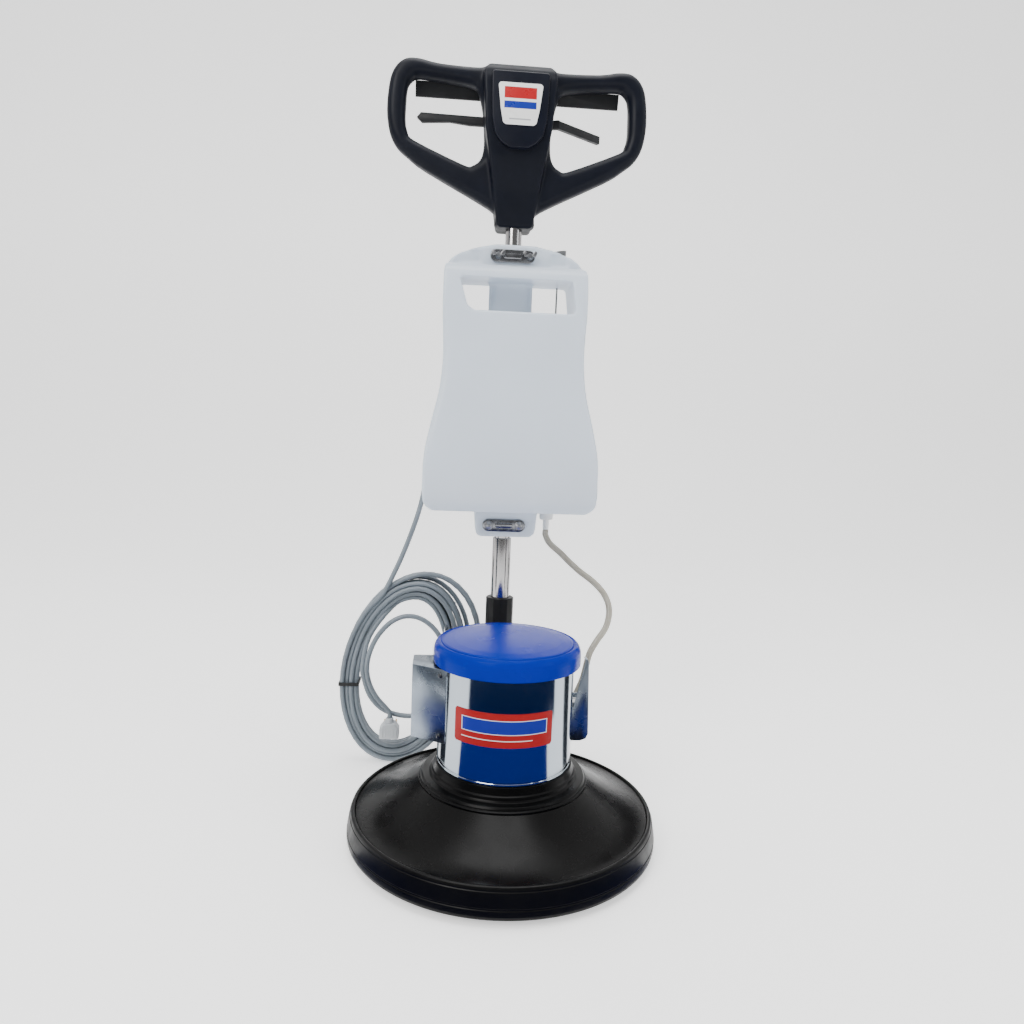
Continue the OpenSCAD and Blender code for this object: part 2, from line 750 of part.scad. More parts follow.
function head_points(p) = [for (q = p) [q[0] * head_scale, q[1]]];

module head_form(w) {
    intersection() {
        plate_xz(mirrored([for (q = HOUSING) [q[0] - w, q[1]]]), 150, 250);
        plate_yz([for (q = HEAD_SIDE) [q[0] + (q[0] < head_mid_y ? w : -w), q[1]]], -80, 80);
    }
}

module head_body() {
    difference() {
        union() {
            difference() {
                plate_xz(mirrored(head_points(HEAD_OUT)), head_mid_y - loop_t / 2, head_mid_y + loop_t / 2);
                plate_xz(head_points(LOOP_IN), 150, 250);
                plate_xz([for (q = head_points(LOOP_IN)) [-q[0], q[1]]], 150, 250);
            }
            head_form(0);
        }
        intersection() {
            head_form(head_wall);
            block(-80, 80, 150, 250, 905, 1116);
        }
        translate([0, pole_y, 870]) cylinder(h = 50, r = pole_r);
        translate([0, 227, 860]) cylinder(h = 60, r = 7);
    }
}

module head_front_shell() {
    color("#15171f") intersection() {
        head_body();
        block(-250, 250, 140, head_mid_y, 860, 1140);
    }
}

module head_rear_shell() {
    color("#15171f") difference() {
        intersection() {
            head_body();
            block(-250, 250, head_mid_y, 260, 860, 1140);
        }
        block(-70, -30, 203.5, 215.3, 1030, 1062);
        block(30, 70, 214, 228, 1030, 1070);
        block(-64, -42, 214, 232, 1073, 1113);
        block(42, 64, 214, 232, 1073, 1113);
        bar_y(230, 250, button_r + 0.4, 0, button_z);
    }
}

module badge_panel() {
    panel = [[43, 1097], [42.5, 1060], [41, 1030], [36, 1008], [26, 996], [13, 989.5], [0, 988.5]];
    color("#181a22") plate_xz(mirrored(panel), 158.5, 161.9);
}

module head_plate() {
    plate = [[30, 1080], [33, 1077], [29, 1044], [25, 1024], [21, 1021]];
    color("#f1f2f3") plate_xz(mirrored(plate), 157.7, 158.5);
}

module lever_pins() {
    color("#b4b8bd") {
        bar_x(-51, 51, 4, lever_y, lever_z);
        bar_y(190, 214.3, 3, release_x, release_z);
        bar_y(214.6, 236, 3, -release_x, release_z);
    }
}

module power_switch() {
    color("#2f3135") {
        block(-14, 14, 176, 194, 1062, 1092);
        bar_y(193, 199, 4, 0, 1082);
    }
}

module safety_button() {
    color("#b5161c") union() {
        bar_y(236, 248, button_r, 0, button_z);
        bar_y(232, 237, 12, 0, button_z);
    }
}

module switch_lever(side) {
    color("#24262b") mirror([side < 0 ? 1 : 0, 0, 0]) difference() {
        union() {
            bar_x(22, 48, 8, lever_y, lever_z);
            plate_yz([[220, 1104], [220, 1099], [225, 1077], [229, 1077], [226, 1102]], 40, 158);
        }
        bar_x(10, 60, 4.06, lever_y, lever_z);
        bar_x(48, 170, 9, lever_y, lever_z + 3);
    }
}
module switch_lever_left() { switch_lever(-1); }
module switch_lever_right() { switch_lever(1); }

module release_lever_left() {
    color("#26282d") difference() {
        plate_xz([[26, 1034], [27, 1041], [24, 1046], [-65, 1046], [-148, 1047], [-154, 1040],
            [-146, 1033], [-104, 1036], [-73, 1033], [0, 1034]], 206, 213);
        bar_y(200, 230, 3.05, release_x, release_z);
    }
}

module release_lever_right() {
    color("#26282d") difference() {
        union() {
            plate_xz([[-26, 1034], [-27, 1041], [-24, 1046], [12, 1046.4], [66, 1053], [66, 1040],
                [0, 1034]], 216, 223);
            translate([62, 216, 1041]) rotate([0, 0, 37]) cube([98, 7, 12]);
        }
        bar_y(210, 230, 3.05, -release_x, release_z);
    }
}

module cord_gland() {
    color("#1c1d1f") translate([0, 227, 0]) difference() {
        union() {
            translate([0, 0, 880]) cylinder(h = 24, r = 7);
            translate([0, 0, 846]) cylinder(h = 34.5, r1 = 5.2, r2 = 7);
        }
        translate([0, 0, 846]) cylinder(h = 70, r = 2);
    }
}

// ---------------------------------------------------------------- cord and hose

module power_cord() {
    color("#77808a") swept_tube(CORD_ROUTE, cord_d);
}

module coil_solid(grow, y0, y1) {
    band = coil_band + grow;
    difference() {
        plate_xz([for (i = [0:coil_points - 1]) oval(coil_long + grow, coil_short + grow, i)], y0, y1);
        plate_xz([for (i = [0:coil_points - 1]) oval(coil_long - band, coil_short - band, i)],
            y0 - 1, y1 + 1);
    }
}

module cord_coil() {
    color("#77808a") coil_solid(0, coil_front, coil_back);
}

module cord_tail() {
    color("#77808a") swept_tube(TAIL_ROUTE, cord_d);
}

module cord_tie() {
    color("#202124") difference() {
        intersection() {
            coil_solid(1.5, coil_front - 1.5, coil_back + 1.5);
            block(-280, -200, 200, 300, 135, 141);
        }
        coil_solid(0, coil_front, coil_back);
    }
}

module mains_plug() {
    color("#b9bfc6") translate([-175, 212, 0]) union() {
        translate([0, 0, 79]) cylinder(h = 9, r1 = 8, r2 = 5.5);
        block(-16, 16, -11, 11, 54, 80);
        block(-11, -8, 10, 29, 69, 75);
        block(8, 11, 10, 29, 69, 75);
        block(-3, 3, 10, 29, 58, 61);
    }
}

module cord_hook() {
    color("#8f949a") difference() {
        union() {
            bar_y(28, 268, 3, hook_x, hook_z);
            translate([hook_x, 268, hook_z]) sphere(r = 3.6);
            translate([hook_x, 268, hook_z]) rotate([0, 20, 0]) cylinder(h = 36, r = 3);
        }
        translate([0, 0, hook_z - 20]) cylinder(h = 40, r = shell_r + 0.05);
    }
}

module water_hose() {
    color("#a9a59b") swept_tube(HOSE_ROUTE, hose_d);
}

deck_housing();
bumper_ring();
motor_flange();
flange_bolts();
gearbox_cover();
ring_gear();
motor_shell();
front_plate();
motor_cap();
upper_bracket();
bearings();
stator_core();
stator_windings();
capacitor_cover_left();
capacitor_cover_right();
capacitors();
yoke_bracket();
bracket_pins();
cord_hook();
cord_coil();
cord_tail();
cord_tie();
mains_plug();
hose_fitting();
planet_carrier();
clutch_plate();
pad_driver();
floor_pad();
planet_gear_1();
planet_gear_2();
planet_gear_3();
motor_shaft();
rotor_core();
cooling_fan();
wheel_left();
wheel_right();
pole_fork();
pole_sleeve();
pole_tube();
water_tank();
tank_clamps();
clamp_screws();
tank_valve();
head_front_shell();
head_rear_shell();
badge_panel();
head_plate();
lever_pins();
power_switch();
cord_gland();
power_cord();
water_hose();
tank_cap();
lock_rod();
release_lever_left();
release_lever_right();
valve_rod();
switch_lever_left();
switch_lever_right();
safety_button();
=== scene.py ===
"""Looks of the rotary floor machine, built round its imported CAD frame. Shapes below are in millimetres."""

import math

import bmesh
import bpy
from mathutils import Matrix, Vector, noise


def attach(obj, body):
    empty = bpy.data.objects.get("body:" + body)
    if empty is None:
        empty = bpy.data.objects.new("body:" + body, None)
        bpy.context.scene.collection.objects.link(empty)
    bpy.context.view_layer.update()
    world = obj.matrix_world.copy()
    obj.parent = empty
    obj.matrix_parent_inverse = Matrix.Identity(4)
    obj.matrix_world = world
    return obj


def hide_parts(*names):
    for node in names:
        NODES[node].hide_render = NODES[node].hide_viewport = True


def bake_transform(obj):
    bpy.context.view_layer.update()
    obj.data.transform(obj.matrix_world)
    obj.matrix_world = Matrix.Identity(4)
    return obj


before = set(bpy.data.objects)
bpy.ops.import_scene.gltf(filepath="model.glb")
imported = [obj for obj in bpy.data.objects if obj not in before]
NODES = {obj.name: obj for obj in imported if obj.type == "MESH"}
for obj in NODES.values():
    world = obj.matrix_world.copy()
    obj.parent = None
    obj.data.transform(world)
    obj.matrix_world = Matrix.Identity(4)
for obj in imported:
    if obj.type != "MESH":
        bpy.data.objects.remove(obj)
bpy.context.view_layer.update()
MM = 0.001
SCENE = bpy.context.scene

# ------------------------------------------------------------------ camera


def direction(heading, pitch):
    """Unit vector with that heading from +Y towards +X and that pitch down, in degrees."""
    h, p = math.radians(heading), math.radians(pitch)
    return Vector((math.sin(h) * math.cos(p), math.cos(h) * math.cos(p), -math.sin(p)))


def make_camera():
    forward = direction(4.536, 6.438)
    right = forward.cross(Vector((0, 0, 1))).normalized()
    up = right.cross(forward)
    roll = math.radians(2.264)
    across = right * math.cos(roll) + up * math.sin(roll)
    above = -right * math.sin(roll) + up * math.cos(roll)
    data = bpy.data.cameras.new("Camera")
    data.lens = 27.724
    data.sensor_width = 36.0
    data.clip_end = 60.0
    cam = bpy.data.objects.new("Camera", data)
    SCENE.collection.objects.link(cam)
    cam.matrix_world = Matrix.Translation((-0.0856, -1.0635, 0.5823)) @ Matrix(
        (across, above, -forward)
    ).transposed().to_4x4()
    SCENE.camera = cam


make_camera()

# ------------------------------------------------------------------ mesh helpers


def link(name, mesh):
    o = bpy.data.objects.new(name, mesh)
    SCENE.collection.objects.link(o)
    return o


def shade(o, angle=35):
    for p in o.data.polygons:
        p.use_smooth = True
    o.data.set_sharp_from_angle(angle=math.radians(angle))
    return o


def from_bmesh(name, bm, angle=35):
    mesh = bpy.data.meshes.new(name)
    bmesh.ops.remove_doubles(bm, verts=bm.verts, dist=1e-6)
    bmesh.ops.dissolve_degenerate(bm, edges=bm.edges, dist=1e-7)
    bmesh.ops.recalc_face_normals(bm, faces=bm.faces)
    bm.to_mesh(mesh)
    bm.free()
    return shade(link(name, mesh), angle)


def from_lists(name, verts, faces, angle=35):
    """A mesh from vertices in millimetres."""
    bm = bmesh.new()
    made = [bm.verts.new([c * MM for c in v]) for v in verts]
    for f in faces:
        if len(set(f)) == len(f):
            bm.faces.new([made[i] for i in f])
    return from_bmesh(name, bm, angle)


def fillet(points, closed=True, steps=5):
    """A 2D outline whose points may carry a third number, the radius that rounds them."""
    out, n = [], len(points)
    for i, p in enumerate(points):
        radius = p[2] if len(p) > 2 else 0
        if radius <= 0 or (not closed and i in (0, n - 1)):
            out.append((p[0], p[1]))
            continue
        here = Vector(p[:2])
        a, b = Vector(points[i - 1][:2]) - here, Vector(points[(i + 1) % n][:2]) - here
        half = a.angle(b) / 2
        reach = min(radius / math.tan(half), a.length * 0.49, b.length * 0.49)
        r = reach * math.tan(half)
        a.normalize()
        b.normalize()
        centre = here + (a + b).normalized() * (r / math.sin(half))
        start, end = here + a * reach - centre, here + b * reach - centre
        first = math.atan2(start.y, start.x)
        turn = (math.atan2(end.y, end.x) - first + math.pi) % (2 * math.pi) - math.pi
        for k in range(steps + 1):
            t = first + turn * k / steps
            out.append((centre.x + r * math.cos(t), centre.y + r * math.sin(t)))
    return out


AXES = {
    "x": lambda a, b, h: (h, a, b),
    "y": lambda a, b, h: (a, h, b),
    "z": lambda a, b, h: (a, b, h),
}


def lathe(name, profile, centre=(0, 0, 0), axis="z", segments=128, angle=40, steps=5):
    """A profile of radius, height and corner radius, turned about an axis through centre."""
    ring = fillet(profile, True, steps)
    m = len(ring)
    verts = []
    for i in range(segments):
        t = 2 * math.pi * i / segments
        for r, h in ring:
            v = AXES[axis](r * math.cos(t), r * math.sin(t), h)
            verts.append([v[k] + centre[k] for k in range(3)])
    faces = [
        (i * m + j, i * m + (j + 1) % m, (i + 1) % segments * m + (j + 1) % m, (i + 1) % segments * m + j)
        for i in range(segments)
        for j in range(m)
    ]
    return from_lists(name, verts, faces, angle)


def bake(o, angle=35):
    """Applies the modifiers."""
    graph = bpy.context.evaluated_depsgraph_get()
    graph.update()
    mesh = bpy.data.meshes.new_from_object(o.evaluated_get(graph))
    o.modifiers.clear()
    o.data = mesh
    return shade(o, angle)


def add_bevel(o, width, steps=3, limit=30, angle=35):
    m = o.modifiers.new("bevel", "BEVEL")
    m.width = width * MM
    m.segments = steps
    m.limit_method = "ANGLE"
    m.angle_limit = math.radians(limit)
    m.use_clamp_overlap = True
    m.harden_normals = False
    return bake(o, angle)


def prism(name, outline, low, high, axis="y", bevel=0.0, steps=3, angle=35):
    """An outline with rounded corners, thickened along an axis, with its rims bevelled."""
    ring = fillet(outline)
    n = len(ring)
    verts = [AXES[axis](a, b, h) for h in (low, high) for a, b in ring]
    faces = [tuple(range(n)), tuple(range(2 * n - 1, n - 1, -1))]
    faces += [(i, (i + 1) % n, n + (i + 1) % n, n + i) for i in range(n)]
    o = from_lists(name, verts, faces, angle)
    return add_bevel(o, bevel, steps, 40, angle) if bevel else o


def brick(name, x, y, z, bevel=0.0, corner=0.0, axis="y"):
    spans = {"x": (y, z, x), "y": (x, z, y), "z": (x, y, z)}[axis]
    (a0, a1), (b0, b1), (low, high) = spans
    c = corner
    outline = [(a0, b0, c), (a1, b0, c), (a1, b1, c), (a0, b1, c)]
    return prism(name, outline, low, high, axis, bevel)


def join(name, pieces, angle=35):
    """Several meshes as one object."""
    bm = bmesh.new()
    for o in pieces:
        bm.from_mesh(o.data)
        bpy.data.objects.remove(o)
    mesh = bpy.data.meshes.new(name)
    bm.to_mesh(mesh)
    bm.free()
    return shade(link(name, mesh), angle)


def carve(o, tools, operation="DIFFERENCE", angle=35):
    for t in tools:
        m = o.modifiers.new("cut", "BOOLEAN")
        m.operation = operation
        m.object = t
        m.solver = "EXACT"
    bake(o, angle)
    for t in tools:
        bpy.data.objects.remove(t)
    return o


def soften(o, voxel, passes, angle=180, extra=0, where=None):
    """Remeshes a solid and smooths it, so that its edges turn round as moulded ones do.
    extra passes act only where the function where says, from 0 to 1."""
    m = o.modifiers.new("remesh", "REMESH")
    m.mode = "VOXEL"
    m.voxel_size = voxel * MM
    bake(o, angle)
    m = o.modifiers.new("smooth", "SMOOTH")
    m.factor = 0.5
    m.iterations = passes
    if where:
        bake(o, angle)
        group = o.vertex_groups.new(name="soft")
        for v in o.data.vertices:
            w = where(v.co / MM)
            if w > 0:
                group.add([v.index], w, "REPLACE")
        m = o.modifiers.new("smooth", "SMOOTH")
        m.factor = 0.5
        m.iterations = extra
        m.vertex_group = "soft"
    return bake(o, angle)


def cad_copy(name, *nodes):
    """The CAD nodes' meshes as one new object with whole flat faces."""
    bm = bmesh.new()
    for n in nodes:
        bm.from_mesh(NODES[n].data)
    bmesh.ops.remove_doubles(bm, verts=bm.verts, dist=2e-6)
    bmesh.ops.dissolve_limit(bm, angle_limit=math.radians(0.6), verts=bm.verts, edges=bm.edges)
    mesh = bpy.data.meshes.new(name)
    bm.to_mesh(mesh)
    bm.free()
    return shade(link(name, mesh))


def bevelled(name, width, *nodes, steps=2, limit=32):
    return add_bevel(cad_copy(name, *nodes), width, steps, limit)


def curve_point(p, i, t):
    k = [p[max(0, min(len(p) - 1, i + j))] for j in (-1, 0, 1, 2)]
    return tuple(
        0.5 * (2 * b + (c - a) * t + (2 * a - 5 * b + 4 * c - d) * t * t + (3 * b - a - 3 * c + d) * t**3)
        for a, b, c, d in zip(*k)
    )


def smooth_route(p, n):
    return [curve_point(p, i, k / n) for i in range(len(p) - 1) for k in range(n)] + [tuple(p[-1])]


def tube(name, route, radius, sides=12, angle=60, cap=True):
    """A round tube along a route in millimetres, its frame carried along without twist.
    radius may be a function of the share of the way."""
    pts = [Vector(p) for p in route]
    n = len(pts)
    heading = [(pts[min(i + 1, n - 1)] - pts[max(i - 1, 0)]).normalized() for i in range(n)]
    side = heading[0].orthogonal().normalized()
    verts = []
    for i in range(n):
        side = (side - heading[i] * side.dot(heading[i])).normalized()
        other = heading[i].cross(side)
        r = radius(i / (n - 1)) if callable(radius) else radius
        for k in range(sides):
            t = 2 * math.pi * k / sides
            verts.append(pts[i] + (side * math.cos(t) + other * math.sin(t)) * r)
    faces = [
        (i * sides + k, i * sides + (k + 1) % sides, (i + 1) * sides + (k + 1) % sides, (i + 1) * sides + k)
        for i in range(n - 1)
        for k in range(sides)
    ]
    if cap:
        faces += [tuple(range(sides)), tuple(range(n * sides - 1, (n - 1) * sides - 1, -1))]
    return from_lists(name, verts, faces, angle)


# ------------------------------------------------------------------ mains cord and water hose

CORD_R = 4.1
HOSE_R = 5.0
CORD_ROUTE = [
    (0, 227, 846), (0, 228, 826), (-3, 230, 800), (-14, 233, 772), (-34, 235, 745), (-58, 235, 718),
    (-80, 234, 690), (-95, 233, 655), (-103, 232, 615), (-110, 231, 575), (-118, 230, 535),
    (-125, 229, 495), (-130, 229, 460), (-137, 230, 430), (-147, 233, 398), (-160, 237, 362),
    (-172.5, 240, 332), (-181, 241, 312.5),
]
TAIL_ROUTE = [
    (-222, 224.5, 172), (-219, 224, 148), (-209, 223, 121), (-190, 222, 100), (-165, 221, 90),
    (-138, 220, 88), (-112, 219, 95), (-92, 218, 114), (-82, 217, 142), (-80, 216, 175),
    (-88, 215, 210), (-104, 215, 238), (-127, 214, 256), (-152, 214, 260), (-176, 213, 250),
    (-196, 213, 228), (-209, 212, 201), (-214, 212, 172), (-209, 212, 145), (-197, 212, 122),
    (-183, 212, 106), (-175, 212, 96), (-175, 212, 88.4),
]
HOSE_ROUTE = [
    (71, 205, 411.4), (71, 205, 408), (71.5, 205, 402), (79, 202, 389), (96, 197, 375),
    (112, 193, 360), (129, 188, 346), (145, 183, 335), (158, 176, 324), (168, 169, 311),
    (173, 160, 296), (172, 152, 280), (165, 142, 264), (151, 133, 247), (140, 129, 228),
    (135, 127, 208), (130, 126, 186), (119, 123, 160), (109, 120, 135), (103, 118, 114),
    (103, 118, 98.4),
]
# The coil: an oval of turns leaning to the right, its rows from the outside in
COIL_CENTRE = (-152, 162)
COIL_AXES = (162, 106)
COIL_LEAN = math.radians(12)
FIRST_ANGLE = -33.0
TURNS = 14.04
HOP_START, HOP_LENGTH = 0.464, 0.167
ROW_STEP = 7.3
FRONT_Y = [233.1 + 8.27 * k for k in range(4)]
MIDDLE_Y = [237.25 + 8.27 * k for k in range(3)]
SLOTS = (
    [(0, y) for y in FRONT_Y]
    + [(1, y) for y in reversed(MIDDLE_Y)]
    + [(2, y) for y in FRONT_Y]
    + [(3, y) for y in reversed(MIDDLE_Y)]
    + [(4, 241.4)]
)


def ease(t):
    t = max(0.0, min(1.0, t))
    return t * t * (3 - 2 * t)


def coil_point(s):
    """The cord's middle after s turns of the coil."""
    j = max(0, min(len(SLOTS) - 2, int(s - HOP_START) if s > HOP_START else 0))
    w = ease((s - j - HOP_START) / HOP_LENGTH)
    (row_a, y_a), (row_b, y_b) = SLOTS[j], SLOTS[j + 1]
    inset = CORD_R + ROW_STEP * (row_a + (row_b - row_a) * w)
    angle = math.radians(FIRST_ANGLE - 360 * s)
    fan = max(0.0, math.cos(angle - math.radians(48))) ** 2
    loose = 23.0 - 2.0 * s if s < 2.27 else 3.0 - 12.0 * ((s - 2.27) / (TURNS - 2.27)) ** 0.6
    wander = 1.1 * noise.noise(Vector((math.cos(angle) * 1.3, math.sin(angle) * 1.3, s * 0.9)))
    inset += -fan * loose + wander
    u = (COIL_AXES[0] - inset) * math.cos(angle)
    v = (COIL_AXES[1] - inset) * math.sin(angle)
    return (
        COIL_CENTRE[0] + u * math.sin(COIL_LEAN) + v * math.cos(COIL_LEAN),
        y_a + (y_b - y_a) * w,
        COIL_CENTRE[1] + u * math.cos(COIL_LEAN) - v * math.sin(COIL_LEAN),
    )


def cord_route():
    """Gland, down behind the tank, round the coil and out in front of it to the plug."""
    turns = [coil_point(0.07 + (TURNS - 0.14) * i / 616) for i in range(617)]
    lead = smooth_route(CORD_ROUTE[:-1] + [coil_point(x) for x in (0.02, 0.07, 0.12)], 4)[:-5]
    leave = [coil_point(TURNS - x) for x in (0.12, 0.07, 0.02)] + [(-212, 229, 222)]
    tail = smooth_route(leave + TAIL_ROUTE, 4)[5:]
    return lead + turns + tail


cord_path = cord_route()
cord = tube("mains_cord", cord_path, CORD_R, sides=14)
hose_path = smooth_route(HOSE_ROUTE, 4)
hose = tube("water_hose_tube", hose_path, HOSE_R, sides=20)

# ------------------------------------------------------------------ materials


def node(tree, kind, **sockets):
    n = tree.nodes.new(kind)
    for key, value in sockets.items():
        if hasattr(n, key):
            setattr(n, key, value)
        else:
            n.inputs[key.replace("_", " ")].default_value = value
    return n


def noise_at(tree, coords, scale, detail=3.0, stretch=None):
    """A noise texture on the object's coordinates, stretched along an axis if asked."""
    source = coords.outputs["Object"]
    if stretch:
        m = node(tree, "ShaderNodeMapping")
        m.inputs["Scale"].default_value = stretch
        tree.links.new(source, m.inputs["Vector"])
        source = m.outputs["Vector"]
    n = node(tree, "ShaderNodeTexNoise", Scale=scale, Detail=detail)
    tree.links.new(source, n.inputs["Vector"])
    return n.outputs["Fac"]


def span(tree, source, low, high, start=0.3, end=0.7):
    m = node(tree, "ShaderNodeMapRange")
    for key, value in zip(("From Min", "From Max", "To Min", "To Max"), (start, end, low, high)):
        m.inputs[key].default_value = value
    tree.links.new(source, m.inputs["Value"])
    return m.outputs["Result"]


def blend_colours(tree, share, first, second):
    """Mixes two colours, each a colour or a socket, by a socket's share."""
    m = node(tree, "ShaderNodeMix", data_type="RGBA")
    sockets = [x for x in m.inputs if x.type == "RGBA"]
    tree.links.new(share, m.inputs[0])
    for socket, value in zip(sockets, (first, second)):
        if isinstance(value, bpy.types.NodeSocket):
            tree.links.new(value, socket)
        else:
            socket.default_value = (*value, 1)
    return [x for x in m.outputs if x.type == "RGBA"][0]


def material(name, colour, rough, metal=0.0, spread=0.06, blotch=14.0, tint=0.15,
             grain=(1400, 0.25, 0.0001),
             coat=0.0, wear=0.0, wear_colour=(0.5, 0.5, 0.5), inner=0.0, stretch=None, waves=None,
             specular=0.5,
             dust=0.0):
    """A finish with blotches of tint, patches of roughness, a fine grain, worn edges and dust on top faces."""
    mat = bpy.data.materials.new(name)
    mat.use_nodes = True
    tree = mat.node_tree
    bsdf = tree.nodes["Principled BSDF"]
    coords = node(tree, "ShaderNodeTexCoord")
    bsdf.inputs["Metallic"].default_value = metal
    bsdf.inputs["Specular IOR Level"].default_value = specular
    if coat:
        bsdf.inputs["Coat Weight"].default_value = coat
        bsdf.inputs["Coat Roughness"].default_value = 0.06
    if inner:
        bsdf.inputs["Subsurface Weight"].default_value = inner
        bsdf.inputs["Subsurface Radius"].default_value = (1.0, 1.05, 1.15)
        bsdf.inputs["Subsurface Scale"].default_value = 0.012
    darker = tuple(c * (1 - tint) for c in colour)
    paint = blend_colours(tree, span(tree, noise_at(tree, coords, blotch), 0, 1), colour, darker)
    patches = span(tree, noise_at(tree, coords, blotch * 2.7, 5.0, stretch), rough - spread, rough + spread)
    if wear:
        geometry = node(tree, "ShaderNodeNewGeometry")
        edge = span(tree, geometry.outputs["Pointiness"], 0, wear, 0.52, 0.62)
        paint = blend_colours(tree, edge, paint, wear_colour)
    if dust:
        geometry = node(tree, "ShaderNodeNewGeometry")
        split = node(tree, "ShaderNodeSeparateXYZ")
        tree.links.new(geometry.outputs["Normal"], split.inputs[0])
        up = span(tree, split.outputs["Z"], 0, dust, 0.6, 1.0)
        speck = node(tree, "ShaderNodeMath", operation="MULTIPLY")
        tree.links.new(up, speck.inputs[0])
        tree.links.new(span(tree, noise_at(tree, coords, 60, 8.0), 0, 1, 0.45, 0.8), speck.inputs[1])
        paint = blend_colours(tree, speck.outputs[0], paint, (0.42, 0.4, 0.37))
    tree.links.new(paint, bsdf.inputs["Base Color"])
    tree.links.new(patches, bsdf.inputs["Roughness"])
    normal = None
    for height, strength, distance in filter(None, (
        (noise_at(tree, coords, grain[0], 2.0, stretch), grain[1], grain[2]) if grain else None,
        (noise_at(tree, coords, waves[0], 1.0), waves[1], waves[2]) if waves else None,
    )):
        bump = node(tree, "ShaderNodeBump", Strength=strength, Distance=distance)
        tree.links.new(height, bump.inputs["Height"])
        if normal is not None:
            tree.links.new(normal, bump.inputs["Normal"])
        normal = bump.outputs["Normal"]
    if normal is not None:
        tree.links.new(normal, bsdf.inputs["Normal"])
    return mat


def paint_areas(mat, areas):
    """Paints flat areas over a finish: each a colour and the boxes of x and z, in millimetres, that it fills."""
    tree = mat.node_tree
    bsdf = tree.nodes["Principled BSDF"]
    coords = node(tree, "ShaderNodeTexCoord")
    split = node(tree, "ShaderNodeSeparateXYZ")
    tree.links.new(coords.outputs["Object"], split.inputs[0])
    below = bsdf.inputs["Base Color"].links[0].from_socket
    soft = 0.15

    def edge(axis, low, high):
        a = span(tree, split.outputs[axis], 0, 1, (low - soft) * MM, (low + soft) * MM)
        b = span(tree, split.outputs[axis], 1, 0, (high - soft) * MM, (high + soft) * MM)
        m = node(tree, "ShaderNodeMath", operation="MULTIPLY")
        tree.links.new(a, m.inputs[0])
        tree.links.new(b, m.inputs[1])
        return m.outputs[0]

    for colour, x0, x1, z0, z1 in areas:
        m = node(tree, "ShaderNodeMath", operation="MULTIPLY")
        tree.links.new(edge("X", x0, x1), m.inputs[0])
        tree.links.new(edge("Z", z0, z1), m.inputs[1])
        below = blend_colours(tree, m.outputs[0], below, colour)
    tree.links.new(below, bsdf.inputs["Base Color"])
    return mat


